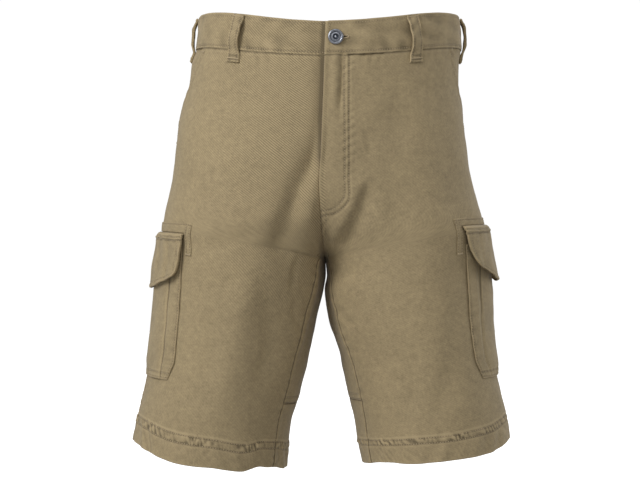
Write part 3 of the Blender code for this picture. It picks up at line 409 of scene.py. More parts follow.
def smooth_between(x, xs, ys):
    """Monotone cubic through (xs, ys), flat outside them."""
    x = np.clip(x, xs[0], xs[-1])
    step, rise = np.diff(xs), np.diff(ys)
    slope = rise / step
    tangent = np.zeros(len(xs))
    tangent[0], tangent[-1] = slope[0], slope[-1]
    for i in range(1, len(xs) - 1):
        if slope[i - 1] * slope[i] > 0:
            before, after = 2 * step[i] + step[i - 1], step[i] + 2 * step[i - 1]
            tangent[i] = (before + after) / (before / slope[i - 1] + after / slope[i])
    i = np.clip(np.searchsorted(xs, x, side="right") - 1, 0, len(xs) - 2)
    t = (x - xs[i]) / step[i]
    return (
        ys[i] * (1 + 2 * t) * (1 - t) ** 2 + ys[i + 1] * t * t * (3 - 2 * t)
        + step[i] * (tangent[i] * t * (1 - t) ** 2 - tangent[i + 1] * t * t * (1 - t))
    )


def read(columns, name, drop):
    return smooth_between(drop, columns["drop"], columns[name])


def ease(x):
    x = np.clip(x, 0.0, 1.0)
    return x * x * (3 - 2 * x)


def bump(away, width):
    """1 on a line and 0 away from it."""
    return np.exp(-((away / width) ** 2))


def strip(away, start, stop, soft):
    """1 between two lines, with soft edges."""
    return ease((away - start) / soft + 0.5) * ease((stop - away) / soft + 0.5)


def unit(way):
    return way / np.maximum(np.linalg.norm(way, axis=-1, keepdims=True), TINY)


def signed_power(x, power):
    return np.sign(x) * np.abs(x) ** power


def together(*values):
    """The values as arrays of one shape."""
    return np.broadcast_arrays(*(np.asarray(value, float) for value in values))


def travel(points):
    """Distance travelled at each point of a path."""
    return np.concatenate([[0], np.cumsum(np.linalg.norm(np.diff(points, axis=0), axis=1))])


def columns_at(places, known, values):
    """Each column of the values, read between the known places."""
    return np.stack([np.interp(places, known, column) for column in values.T], axis=1)


def waves(place, longest, count, seed):
    """Smooth seeded waves, about -1 to 1, over places of any number of coordinates."""
    draw = np.random.default_rng(seed)
    total = np.zeros(place.shape[:-1])
    for _ in range(count):
        way = draw.normal(size=place.shape[-1])
        way /= np.linalg.norm(way)
        length = longest * draw.uniform(0.55, 1.0)
        total += np.sin(place @ way * (2 * math.pi / length) + draw.uniform(0, 2 * math.pi))
    return total / math.sqrt(count)


def flat_waves(x, y, longest, count, seed):
    return waves(np.stack(np.broadcast_arrays(x, y), axis=-1), longest, count, seed)


def ripple(along, longest, seed):
    return waves(np.asarray(along, float)[..., None], longest, 5, seed)


def from_line(x, y, path):
    """Distance of places from a line through points."""
    nearest = np.full(np.broadcast(x, y).shape, np.inf)
    for (ax, ay), (bx, by) in zip(path, path[1:]):
        run = (bx - ax) ** 2 + (by - ay) ** 2
        t = np.clip(((x - ax) * (bx - ax) + (y - ay) * (by - ay)) / run, 0, 1)
        nearest = np.minimum(nearest, np.hypot(x - ax - t * (bx - ax), y - ay - t * (by - ay)))
    return nearest


def graded(marks):
    """Values from the first mark to the last. Each mark is a value and the step after it."""
    found = [marks[0][0]]
    for (start, step), (stop, _) in zip(marks, marks[1:]):
        count = max(1, round((stop - start) / step))
        found += list(np.linspace(start, stop, count + 1)[1:])
    return np.array(found)


def spread(marks, step):
    """Values from the first mark to the last, near this step, with every mark among them."""
    return graded([(mark, step) for mark in marks])


def line(path, step=2.0):
    """Close values along a path of (drop, distance), as two rows."""
    path = np.array(path, float)
    run = travel(path)
    along = np.linspace(0, run[-1], max(2, int(run[-1] / step) + 1))
    return np.interp(along, run, path[:, 0]), np.interp(along, run, path[:, 1])


def rounded(path, times):
    """The path with its corners eased."""
    found = path.copy()
    for _ in range(times):
        found[1:-1] = (found[:-2] + found[1:-1] * 2 + found[2:]) / 4
    return found


# ---------------------------------------------------------------- the surface

def leg_drop(side, drop):
    """A drop in the table's terms: the wearer's left leg ends a little higher."""
    below = np.maximum(drop - CROTCH, 0.0)
    return np.minimum(drop, CROTCH) + (below if side == RIGHT else below / LEFT_SHARE)


def real_drop(side, drop):
    """The drop, in one leg's own terms, of a drop in the table's terms."""
    below = np.maximum(drop - CROTCH, 0)
    return drop if side == RIGHT else np.minimum(drop, CROTCH) + below * LEFT_SHARE


def section(side, drop):
    """The section's sizes at this drop, and the angle at which it meets the other half."""
    drop = np.asarray(drop, float)
    table_drop = leg_drop(side, drop)
    torso = table_drop < CROTCH
    found = {
        name: np.where(torso, read(SECTIONS, name, drop), read(LEGS, name, table_drop))
        for name in ("front_rise", "back_rise", "dip", "front", "back", "power", NAMES[side])
    }
    outer = found["outer"] = found[NAMES[side]]
    split = np.clip(read(SECTIONS, "split", drop), 0, 1)
    inner = read(LEGS, NAMES[side] + "_inner", table_drop)
    found["inner"] = np.where(torso, -outer * (1 - split) / (1 + split), inner)
    found["end"] = np.where(torso, np.arccos(-(split ** (found["power"] / 2))), math.pi)
    return found


def lean_of(height):
    return np.interp(height, LEAN["height"], LEAN["lean"])


def hem_lift(side, angle):
    lift = np.zeros_like(angle)
    for row_side, middle, width, height in HEM_WAVES:
        if SIDES[row_side] == side:
            lift += height * bump(np.degrees(angle) - middle, width)
    return lift


def plain_point(side, drop, angle):
    """The smooth body, without folds: points (..., 3)."""
    at = section(side, drop)
    cosine, sine = np.cos(angle), np.sin(angle)
    middle, half = (at["outer"] + at["inner"]) / 2, (at["outer"] - at["inner"]) / 2
    across = middle + half * signed_power(cosine, 2 / at["power"])
    along = np.where(sine < 0, at["front"], at["back"]) * signed_power(sine, 2 / at["power"])
    mean_rise = (at["front_rise"] + at["back_rise"]) / 2
    turn_rise = (at["back_rise"] - at["front_rise"]) / 2
    height = -drop + mean_rise * (1 - cosine) + turn_rise * signed_power(sine, at["dip"])
    hem = HEM if side == RIGHT else LEFT_HEM
    height = height + hem_lift(side, angle) * ease((drop - hem + HEM_WAVE_REACH) / HEM_WAVE_REACH)
    across = side * across + lean_of(height) * bump(across, LEAN_REACH) * ease(-along / 60)
    return np.stack([across, along, height], axis=-1)


def fold_push(point):
    """How far the folds, the creases and the drape move each point of the plain surface out."""
    push = np.zeros(point.shape[:-1])
    across, height = point[..., 0], point[..., 2]
    for view, wide_left, wide_right, depth, path in FOLDS + CREASES:
        path = np.array(path, float)
        reach = FOLD_REACH * max(wide_left, wide_right)
        low, high = path.min(axis=0) - reach, path.max(axis=0) + reach
        near = (point[..., 1] < 0) == (view == "front")
        near &= (across > low[0]) & (across < high[0]) & (height > low[1]) & (height < high[1])
        if not near.any():
            continue
        spot = point[near]
        toward, flat = np.abs(spot[:, 1]), spot[:, [0, 2]]
        lengths = travel(path)
        nearest, along, hand = np.full(len(spot), np.inf), np.zeros(len(spot)), np.ones(len(spot))
        for i in range(len(path) - 1):
            run = path[i + 1] - path[i]
            t = np.clip(((flat - path[i]) @ run) / (run @ run), 0, 1)
            offset = flat - path[i] - t[:, None] * run
            away = np.linalg.norm(offset, axis=1)
            closer = away < nearest
            along = np.where(closer, lengths[i] + t * (lengths[i + 1] - lengths[i]), along)
            hand = np.where(closer, run[0] * offset[:, 1] - run[1] * offset[:, 0], hand)
            nearest = np.minimum(away, nearest)
        share = along / lengths[-1]
        fade = ease(share / FOLD_FADE) * ease((1 - share) / FOLD_FADE) * ease(toward / 25)
        push[near] -= depth * fade * bump(nearest, np.where(hand > 0, wide_left, wide_right))
    push = push * ease(np.abs(across - lean_of(height)) / 10)
    return push + 0.30 * waves(point, 75.0, 10, 5) + 0.14 * waves(point, 26.0, 10, 6)


def outward(surface, side, drop, angle, turn, down):
    """Outward direction of a surface, from places this far to either side."""
    across = surface(side, drop, angle + turn) - surface(side, drop, angle - turn)
    along = surface(side, drop + down, angle) - surface(side, drop - down, angle)
    return unit(np.cross(along, across) * side)


def folded(side, drop, angle):
    plain = plain_point(side, drop, angle)
    return plain + fold_push(plain)[..., None] * outward(plain_point, side, drop, angle, 0.004, 1.0)


class Chart:
    """One half of the surface, measured along its rows from their front edge."""

    def __init__(self, side):
        self.side = side
        self.name = NAMES[side]
        regular = np.arange(WAIST_TOP, HEM, CHART_STEP)
        self.drops = np.unique(np.concatenate([regular, CHART_DROPS]))
        angles = section(side, self.drops)["end"][:, None] * np.linspace(-1.0, 1.0, CHART_SAMPLES)
        points = plain_point(side, np.repeat(self.drops[:, None], CHART_SAMPLES, axis=1), angles)
        lengths = np.array([travel(row) for row in points])
        self.totals = lengths[:, -1]
        turns = read(SEAM_TURN, self.name, self.drops)
        self.distances = np.arange(-CHART_MARGIN, self.totals.max() + CHART_MARGIN, CHART_CELL)
        self.angles, self.seams, self.sides = [], [], []
        for drop, total, length, angle, turn in zip(
            self.drops, self.totals, lengths, angles, turns
        ):
            self.seams.append(np.interp(math.radians(turn), angle, length))
            self.sides.append(np.interp(0.0, angle, length))
            if drop >= CROTCH:
                length = np.concatenate([length[:-1] - total, length, length[1:] + total])
                round_leg = 2 * math.pi
                angle = np.concatenate([angle[:-1] - round_leg, angle, angle[1:] + round_leg])
            self.angles.append(np.interp(self.distances, length, angle))
        self.angles = np.array(self.angles)

    def total(self, drop):
        return np.interp(drop, self.drops, self.totals)

    def seam(self, drop):
        return np.interp(drop, self.drops, self.seams)

    def mouth(self, drop):
        """The edge of the hand pocket."""
        return self.seam(drop) - np.interp(drop, MOUTH["drop"], MOUTH["ahead"])

    def outermost(self, drop):
        return np.interp(drop, self.drops, self.sides)

    def angle(self, drop, distance):
        """Angles of the places at these drops and distances."""
        row = np.clip(np.searchsorted(self.drops, drop, side="right") - 1, 0, len(self.drops) - 2)
        down = (drop - self.drops[row]) / (self.drops[row + 1] - self.drops[row])
        down = np.clip(down, 0, 1)
        last = len(self.distances) - 1.001
        cell = np.clip((distance - self.distances[0]) / CHART_CELL, 0, last)
        left = cell.astype(int)
        along = cell - left
        upper, lower = (
            self.angles[k, left] * (1 - along) + self.angles[k, left + 1] * along
            for k in (row, row + 1)
        )
        return upper * (1 - down) + lower * down

    def place(self, drop, distance):
        """Points and outward directions of the cloth's outer face."""
        drop, distance = together(drop, distance)
        angle = self.angle(drop, distance)
        normals = outward(folded, self.side, drop, angle, 0.012, 1.5)
        return folded(self.side, drop, angle), normals

    def uv(self, drop, distance):
        drop, distance = together(drop, distance)
        return np.stack([self.side * distance, -drop], axis=-1)


def centre_place(charts, drop, across):
    """Points near the centre front. across: to the wearer's left of its seam."""
    drop, across = together(drop, across)
    halves = [charts[side].place(drop, np.maximum(across * side, 0.0))[0] for side in charts]
    return np.where((across < 0)[..., None], *halves)


def centre_back_place(charts, drop, across):
    """Points near the centre back. across: to the wearer's left of its seam."""
    drop, across = together(drop, across)
    halves = [
        chart.place(drop, chart.total(drop) - np.maximum(across * side, 0.0))[0]
        for side, chart in charts.items()
    ]
    return np.where((across < 0)[..., None], *halves)


# ---------------------------------------------------------------- sewing on the panels

def hem_rows(side, distance):
    """Drops of the two rows that sew the hem, in the table's terms. They wander a little."""
    wander = 1.3 * ripple(distance, 130.0, 31 - side)
    return [row + wander for row in HEM_ROWS[NAMES[side]]]


def panel_relief(chart, drop, distance):
    """Height of the seams and their puckers on the panels. Returns it with the cloth's tone: paler
    wear, with painted shade and painted highlights along the seams.
    """
    side, table_drop = chart.side, leg_drop(chart.side, drop)
    total = chart.total(drop)
    seed = 10 if side == RIGHT else 40
    front, back = read(GUSSET, chart.name, table_drop), read(GUSSET, "back", table_drop)
    height, wear = np.zeros(np.shape(distance)), np.zeros(np.shape(distance))

    # The second value tones the cloth: paler for wear and painted highlights, darker for painted
    # shade
    def add(share, higher, wear_and_shade_added):
        nonlocal height, wear
        height, wear = height + share * higher, wear + share * wear_and_shade_added

    def felled(share, away, along, rows, puckers, salt):
        """A seam whose allowance lies over it, from away = 0 past its two rows of stitching."""
        lap = strip(away, 0.0, rows[1] + 1.4, 1.4)
        dents = bump(away - rows[0], 0.75) + bump(away - rows[1], 0.75)
        pull = puckers * ripple(along + 0.7 * away, 13.0, seed + salt)
        pull = pull * bump(away - rows[1] / 2, rows[1])
        edge = bump(away, 0.8)
        # Painted highlights (lit) run beside the seam; its edge and the rows' dents get painted
        # shade, and the puckers' tone follows their height, with painted shade where they sink
        lit = bump(away - rows[0] - 1.9, 1.0) + bump(away + 1.6, 1.0)
        add(
            share,
            0.6 * lap - 0.5 * edge - 0.42 * dents + pull,
            0.3 * lap - 1.3 * edge - 1.0 * dents + 0.4 * lit + 1.4 * pull,
        )

    def plain_seam(share, away, along, salt):
        """A seam sewn from inside, its allowance pressed to the side where away is over 0."""
        pull = 0.22 * ripple(along, 17.0, seed + salt) * bump(away, 7.0)
        # Painted highlights (lit) either side of the seam, and painted shade along its line
        lit = 0.4 * bump(away - 2.0, 1.5) + 0.25 * bump(away + 2.2, 1.2)
        add(
            share,
            0.35 * strip(away, 0.0, 7.0, 2.0) - 0.8 * bump(away, 0.9) + pull,
            lit - 1.3 * bump(away, 1.0) + pull,
        )

    felled(1.0, distance - chart.seam(drop), drop, SIDE_ROWS, 0.16, 1)
    low = ease((table_drop - CROTCH + 8) / 8)
    plain_seam(low, front - distance, drop, 2)
    plain_seam(low, distance - (total - back), drop, 3)
    if side == RIGHT:
        # It sinks under the edge of the wearer's left front, and painted shade darkens it there
        painted_shade_under_lap = -1.7 * bump(distance, 3.0) - 0.5 * bump(distance, 8.0)
        add(strip(drop, 16.0, 140.0, 30.0), -2.4 * bump(distance, 9.0), painted_shade_under_lap)
    else:
        low_front = strip(drop, FLY_END + 14, CROTCH + 4, 5.0)
        felled(low_front, distance, drop, STRIP_ROWS, 0.2, 4)
        felled(ease((CROTCH + 2 - drop) / 8), total - distance, drop, STRIP_ROWS, 0.16, 5)
        away, inner = from_line(drop, distance, FLY_ROW), from_line(drop, distance, FLY_INNER_ROW)
        inside = (distance < np.interp(drop, *zip(*FLY_ROW))) & (drop < FLY_ROW[-1][0])
        pull = 0.26 * ripple(drop + 0.6 * distance, 11.0, seed + 6) * bump(away - 3, 5.0)
        dents = 1.05 * bump(away, 0.9) + 0.95 * bump(inner, 0.85)
        # Painted shade in the dents of the fly's rows, and a painted highlight beside the outer row
        add(
            1.0,
            0.5 * inside * ease(away / 1.6) - 0.42 * bump(away, 0.8) - 0.4 * bump(inner, 0.75)
            + pull,
            1.5 * pull - dents + 0.45 * bump(away - 2.2, 1.2),
        )
        # Paler along the fly's rolled edge, with painted shade just inside it
        add(
            ease((FLY_END + 2 - drop) / 6) * ease((drop - 20) / 4),
            0.7 * bump(distance - 1.0, 1.3) - 0.25 * bump(distance - 3.0, 1.0),
            1.5 * bump(distance - 1.0, 1.4) - 0.5 * bump(distance - 3.4, 1.0),
        )
    # The hand pocket's edge, turned in and sewn twice: paler along its edge, with painted shade in
    # the dents of its rows
    ahead = chart.mouth(drop) - distance
    rows = bump(ahead - MOUTH_ROWS[0], 0.75) + bump(ahead - MOUTH_ROWS[1], 0.75)
    pull = 0.24 * ripple(drop + ahead, 13.0, seed + 7) * bump(ahead - 4, 6.0)
    add(
        ease((POCKET_MOUTH_END + 4 - drop) / 6),
        0.5 * strip(ahead, -1.0, 8.6, 1.4) - 0.35 * rows + pull,
        0.9 * bump(ahead, 1.3) - 0.8 * rows + pull,
    )
    # Under the waistband: puckers, painted shade along the seam at its foot, and a paler line below
    # it
    pull = 0.16 * ripple(distance + 0.3 * drop, 15.0, seed + 8) * bump(drop - 24, 7.0)
    add(1.0, pull, pull - bump(drop - 20.0, 1.0) + 0.35 * bump(drop - 22.6, 1.2))
    # The end of the gusset: painted shade in the dents of its rows and along its folded end
    inside = strip(distance, -5, front - 1, 2.0) + strip(distance, total - back + 1, total + 5, 2.0)
    for row in GUSSET_END_ROWS:
        add(inside, -0.4 * bump(table_drop - row, 0.8), -1.1 * bump(table_drop - row, 0.9))
    fold = 0.3 * strip(table_drop, 384, GUSSET_END, 1.5)
    past_end = table_drop - GUSSET_END
    add(inside, fold - 0.6 * bump(past_end, 0.8), -1.2 * bump(past_end, 0.9))
    # The hem: a doubled edge under two rows of stitching, roped by their pull. Its rows get painted
    # shade, a painted highlight runs above the upper row, the roping is paler on its ridges and
    # painted darker in its hollows, and the edge is paler.
    first, second = hem_rows(side, distance)
    above, below = table_drop - first, table_drop - second
    round_leg = -side * distance
    turns = (round_leg + 0.5 * table_drop) / 7.3 + 0.8 * ripple(round_leg, 50.0, seed + 11)
    strength = np.clip(0.8 + 0.5 * ripple(round_leg, 80.0, seed + 12), 0.3, 1.4)
    small = flat_waves(round_leg + 0.3 * table_drop, 0.8 * table_drop, 9.0, 9, seed + 9)
    rope = strength * (0.75 * np.sin(2 * math.pi * turns) + 0.45 * small)
    between = strip(table_drop, first, second, 2.0)
    broad = ripple(distance + 0.5 * table_drop, 36.0, seed + 10)
    rows = bump(above, 0.8) + bump(below, 0.8)
    foot = ease(below / 5)
    rim = bump(table_drop - HEM, 1.8) * (table_drop > HEM - 6)
    add(
        1.0,
        0.35 * ease(above / 2.0 + 0.5) - 0.5 * rows + rope * (0.80 * between + 0.16 * foot)
        + 0.3 * rope * bump(above + 3, 2.6) + 0.5 * broad * ease(above / 14),
        1.25 * rope * between + 0.25 * rope * foot - 1.4 * rows + 0.6 * rim
        + (1.5 + 0.8 * rope) * bump(above + 2.2, 1.3) + 0.35 * bump(below - 2.2, 1.0),
    )
    return height, wear


def lap_level(chart, drop, distance):
    """The left front laps over the right front along the fly."""
    if chart.side == RIGHT:
        return np.zeros(np.shape(distance))
    near = ease((FLY_WIDTH + 8 - distance) / FLY_WIDTH)
    return LAP * near * ease((FLY_END + 22 - drop) / 26)


def panel_level(chart, drop, distance):
    return lap_level(chart, drop, distance) + panel_relief(chart, drop, distance)[0]


# ---------------------------------------------------------------- pieces

def face_directions(points, quads):
    """Outward direction at each point, from the quads round it."""
    corners = points[quads]
    area = np.cross(corners[:, 2] - corners[:, 0], corners[:, 3] - corners[:, 1])
    total = np.zeros_like(points)
    for k in range(4):
        np.add.at(total, quads[:, k], area)
    return unit(total)


def grid_quads(rows, columns, side):
    k = np.arange(rows * columns).reshape(rows, columns)
    quads = np.stack([k[:-1, :-1], k[1:, :-1], k[1:, 1:], k[:-1, 1:]], axis=-1).reshape(-1, 4)
    return quads[:, ::-1] if side == RIGHT else quads


def grid_normals(points, side):
    quads = grid_quads(*points.shape[:2], side)
    return face_directions(points.reshape(-1, 3), quads).reshape(points.shape)


def cloth_wall(points, normals, quads, uvs, level, thickness, inset=0.0):
    """Closed wall of the quads with a rounded rim. Returns points, faces, the UV of each face
    corner, and for each point the one that it was made from, or -1 on the inner side."""
    count = len(points)
    starts, ends = quads, np.roll(quads, -1, axis=1)
    real = starts != ends
    a, b = starts[real], ends[real]
    rim = ~np.isin(a * count + b, b * count + a)
    a, b = a[rim], b[rim]
    pull = unit(np.cross(normals[a] + normals[b], points[b] - points[a]))
    total = np.zeros_like(points)
    np.add.at(total, a, pull)
    np.add.at(total, b, pull)
    inward = total / np.maximum((total**2).sum(axis=1, keepdims=True) / 2, 0.3)
    round_off = np.minimum(thickness, 2.0)[:, None] * 0.45
    outer, middle, inner = (
        points + normals * (level - thickness * sunk)[:, None] + inward * (inset + round_off * soft)
        for sunk, soft in ((0.0, 1.0), (0.5, 0.0), (1.0, 1.0))
    )
    used = np.unique(quads)
    edge = np.unique(np.concatenate([a, b]))
    place = np.full(count, -1)
    place[used] = np.arange(len(used))
    under = place + len(used)
    between = np.full(count, -1)
    between[edge] = 2 * len(used) + np.arange(len(edge))
    verts = np.concatenate([outer[used], inner[used], middle[edge]])
    origin = np.concatenate([used, np.full(len(used) + len(edge), -1)])
    at = np.zeros((count, 2))
    at[quads.ravel()] = uvs.reshape(-1, 2)
    faces = np.concatenate([
        place[quads], under[quads[:, ::-1]],
        np.stack([place[b], place[a], between[a], between[b]], axis=1),
        np.stack([between[b], between[a], under[a], under[b]], axis=1),
    ])
    rim_uvs = np.stack([at[b], at[a], at[a], at[b]], axis=1)
    return verts, faces, np.concatenate([uvs, uvs[:, ::-1], rim_uvs, rim_uvs]), origin


def rib_strength(place):
    """How clearly the twill's ribs show: best over the wearer's right front, by the fly."""
    x, y, z = place.T
    near = bump(x + 22, 48) * ease((-40 - y) / 40) * ease((z + 330) / 120)
    broad = bump(x + 70, 60) * ease((z + 380) / 160)
    return np.clip(0.14 + (0.95 * near + 0.45 * broad) * ease((3 - x) / 6), 0.0, 1.3)


def add_object(name, verts, faces, finish, node=None):
    """An object from points. It rides on the shorts and stands for its CAD node."""
    mesh = bpy.data.meshes.new(name)
    mesh.from_pydata((np.array(verts) * MM).tolist(), [], faces)
    mesh.materials.append(finish)
    obj = bpy.data.objects.new(name, mesh)
    bpy.context.scene.collection.objects.link(obj)
    return declare(obj, node)


def declare(obj, node=None):
    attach(obj, "root")
    if node:
        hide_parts(node)
    return obj


def set_values(obj, name, values):
    """A number at each point, for the finish to read."""
    attribute = obj.data.attributes.new(name, "FLOAT", "POINT")
    attribute.data.foreach_set("value", np.asarray(values, np.float32))


def smooth_under(obj, degrees):
    obj.data.shade_smooth()
    obj.data.set_sharp_from_angle(angle=math.radians(degrees))


def add_cloth(name, verts, faces, corners, wear, finish, node):
    """A piece of cloth with its UV map, from quads of which some have points in common."""
    kept = faces != np.roll(faces, 1, axis=1)
    whole = kept.sum(axis=1) > 2
    faces, corners, kept = faces[whole], corners[whole], kept[whole]
    lists = [
        [k for k, keep in zip(face, keeps) if keep]
        for face, keeps in zip(faces.tolist(), kept.tolist())
    ]
    obj = add_object(name, verts, lists, finish, node)
    layer = obj.data.uv_layers.new(name="cloth")
    layer.data.foreach_set("uv", (corners[kept] * MM).ravel())
    # These values hold paler wear together with painted shade and painted highlights
    set_values(obj, "wear", wear)
    set_values(obj, "ribs", rib_strength(verts))
    smooth_under(obj, 75.0)
    return obj


def add_sheet(
    node, side, points, normals, uv, level, thickness, wear,
    finish=None, keep=None, name=None
):
    """A piece of cloth from a grid of places, in place of this node's solid."""
    level, thickness, wear = (
        np.broadcast_to(x, points.shape[:2]).ravel() for x in (level, thickness, wear)
    )
    quads = grid_quads(*points.shape[:2], side)
    if keep is not None:
        quads = quads[keep.ravel()]
    verts, faces, corners, origin = cloth_wall(
        points.reshape(-1, 3), normals.reshape(-1, 3), quads, uv.reshape(-1, 2)[quads], level,
        thickness,
    )
    shade = np.where(origin >= 0, wear[origin], 0.0)
    name = name or node + "_cloth"
    return add_cloth(name, verts, faces, corners, shade, finish or twill, node)


# ---------------------------------------------------------------- stitches

rows_of_thread = {}


def sew(group, points, normals, level, pitch=STITCH_PITCH, across=None):
    """Stitches along a line of places, or across it where across is their length."""
    raised = points + normals * np.broadcast_to(level, points.shape[:-1])[..., None]
    rows_of_thread.setdefault(group, []).append((raised, normals, pitch, across))


def sew_on(group, chart, drops, distances, level=None, **how):
    """Stitches on the panels of one side, or at a level above the plain cloth."""
    drops, distances = together(drops, distances)
    if level is None:
        level = panel_level(chart, drops, distances)
    sew(group, *chart.place(drops, distances), level, **how)


def bar_tack(group, chart, drop, distance, length, level):
    """A short bar of close stitches across the leg."""
    run = np.linspace(-0.5, 0.5, max(4, int(length))) * length
    sew_on(group, chart, drop, distance + run, level, **TACK)


def stitch_ring(way, out):
    """Corners round a stitch, from its sideways and outward directions."""
    turns = 2 * math.pi * np.arange(THREAD_SIDES) / THREAD_SIDES
    return [way * (math.cos(t) * THREAD * 1.15) + out * (math.sin(t) * THREAD) for t in turns]


def add_thread():
    """Every row of stitching, as small rounded lengths of thread lying in the cloth."""
    draw = np.random.default_rng(77)
    ring = range(THREAD_SIDES)
    stitch_faces = []
    for j in ring:
        low, after = 1 + j, 1 + (j + 1) % THREAD_SIDES
        high, high_after = low + THREAD_SIDES, after + THREAD_SIDES
        stitch_faces += [
            (0, after, low), (low, after, high_after, high),
            (1 + 2 * THREAD_SIDES, high, high_after),
        ]
    for group, rows in rows_of_thread.items():
        verts, faces = [], []
        for points, normals, pitch, across in rows:
            run = travel(points)
            count = max(1, int(round(run[-1] / pitch)))
            along = (np.arange(count) + 0.5) * run[-1] / count
            middle = columns_at(along, run, points)
            normal = columns_at(along, run, normals)
            normal /= np.linalg.norm(normal, axis=1, keepdims=True)
            way = unit(columns_at(along + 0.7, run, points) - columns_at(along - 0.7, run, points))
            side_way = np.cross(normal, way)
            length = run[-1] / count * STITCH_SHARE
            if across:
                way, side_way, length = side_way, -way, across
            length = length * draw.uniform(0.92, 1.04, count)
            turn = draw.normal(0.0, 0.05, count)[:, None]
            way, side_way = way + side_way * turn, side_way - way * turn
            for at, ahead, aside, out, half in zip(middle, way, side_way, normal, length / 2):
                first, corners = len(verts), stitch_ring(aside, out)
                verts.append(at - ahead * half - out * THREAD_END)
                for end in (-0.55, 0.55):
                    verts += [at + ahead * (half * end) + corner for corner in corners]
                verts.append(at + ahead * half - out * THREAD_END)
                faces += [tuple(first + k for k in face) for face in stitch_faces]
        add_object(group, verts, faces, thread).data.shade_smooth()


# ---------------------------------------------------------------- the panels

def panel_of(side, band, drop):
    if band.startswith("gusset"):
        return "gusset" if drop < GUSSET_END else "back_" + NAMES[side]
    if band == "mouth" and drop < POCKET_MOUTH_END:
        return "facing"
    return ("back_" if band == "back" else "front_") + NAMES[side]


def body_row(chart, drop, real):
    """Distances of the points of one row, and the band of each cell between them."""
    total, seam = chart.total(real), chart.seam(real)
    ahead = np.interp(drop, MOUTH["drop"], MOUTH["ahead"])
    front, back = read(GUSSET, chart.name, drop), read(GUSSET, "back", drop)
    marks = (0.0, front, seam - ahead, seam, total - back, total)
    distances, bands = [0.0], []
    for (band, first, cells, last), start, stop in zip(BODY_BANDS, marks, marks[1:]):
        width = stop - start
        shrink = min(1.0, width / (1.15 * (first[-1] + last[-1]) + TINY))
        near, far = np.array(first) * shrink, np.array(last) * shrink
        middle = np.linspace(near[-1], width - far[-1], cells + 1)
        found = np.concatenate([near[:-1], middle, (width - far[:-1])[::-1]])
        distances += list(start + found[1:])
        bands += [band] * (len(found) - 1)
    return np.array(distances), bands


def body_cloth(charts):
    """Points, their facts (side, drop, distance), quads, face UVs and the panel of each quad.
    The halves share the points of the centre seams, and each leg those of its inner line."""
    places, facts, quads, uvs, labels = [], [], [], [], []
    drops = graded(BODY_ROWS)
    edges, count = {}, 0
    for side, chart in charts.items():
        grid, spots, reals, turns = [], [], [], []
        for drop in drops:
            real = float(real_drop(side, drop))
            distances, bands = body_row(chart, drop, real)
            angles = chart.angle(real, distances)
            end = float(section(side, real)["end"])
            angles[0], angles[-1] = -end, end
            kept = np.concatenate([[True], np.diff(distances) > 1e-6])
            ids = count + np.cumsum(kept) - 1
            turns.append(angles[kept])
            reals.append(np.full(kept.sum(), real))
            facts += [(side, real, distance) for distance in distances[kept]]
            count += int(kept.sum())
            if drop > CROTCH or (drop == CROTCH and side == RIGHT):
                ids[ids == ids[-1]] = ids[0]
            if drop <= CROTCH:
                first, last = edges.setdefault(drop, (ids[0], ids[-1]))
                ids = np.where(ids == ids[-1], last, np.where(ids == ids[0], first, ids))
            grid.append(ids)
            spots.append(chart.uv(real, distances))
        places.append(folded(side, np.concatenate(reals), np.concatenate(turns)))
        for i, (upper, lower) in enumerate(zip(grid, grid[1:])):
            block, corner = (
                np.stack([a[:-1], b[:-1], b[1:], a[1:]], axis=1)
                for a, b in ((upper, lower), (spots[i], spots[i + 1]))
            )
            if side == RIGHT:
                block, corner = block[:, ::-1], corner[:, ::-1]
            quads.append(block)
            uvs.append(corner)
            labels += [panel_of(side, band, (drops[i] + drops[i + 1]) / 2) for band in bands]
    quads, uvs, labels = np.concatenate(quads), np.concatenate(uvs), np.array(labels)
    whole = (quads != np.roll(quads, 1, axis=1)).sum(axis=1) > 2
    return np.concatenate(places), np.array(facts), quads[whole], uvs[whole], labels[whole]


def add_panels(charts):
    points, facts, quads, uvs, labels = body_cloth(charts)
    normals = face_directions(points, quads)
    level, wear, lap = (np.zeros(len(points)) for _ in range(3))
    for side, chart in charts.items():
        mine = facts[:, 0] == side
        drop, distance = facts[mine, 1:].T
        level[mine], wear[mine] = panel_relief(chart, drop, distance)
        lap[mine] = lap_level(chart, drop, distance)
    centre = np.isin(np.arange(len(points)), quads[labels == "front_left"])
    centre &= np.isin(np.arange(len(points)), quads[labels == "front_right"])
    lap[centre & (facts[:, 1] < FLY_END)] = LAP
    thickness = PANEL_CLOTH + HEM_EXTRA * (facts[:, 1] > HEM_TOP - 3)
    made = []
    for name in sorted(set(labels) - {"facing"}):
        chosen = labels == name
        raised = level + lap if name == "front_left" else level
        verts, faces, corners, origin = cloth_wall(
            points, normals, quads[chosen], uvs[chosen], raised, thickness, -SEAM_LAP
        )
        shade = np.where(origin >= 0, wear[origin], 0.0)
        made.append(add_cloth(name + "_cloth", verts, faces, corners, shade, twill, name))
    return made


# ---------------------------------------------------------------- the waistband

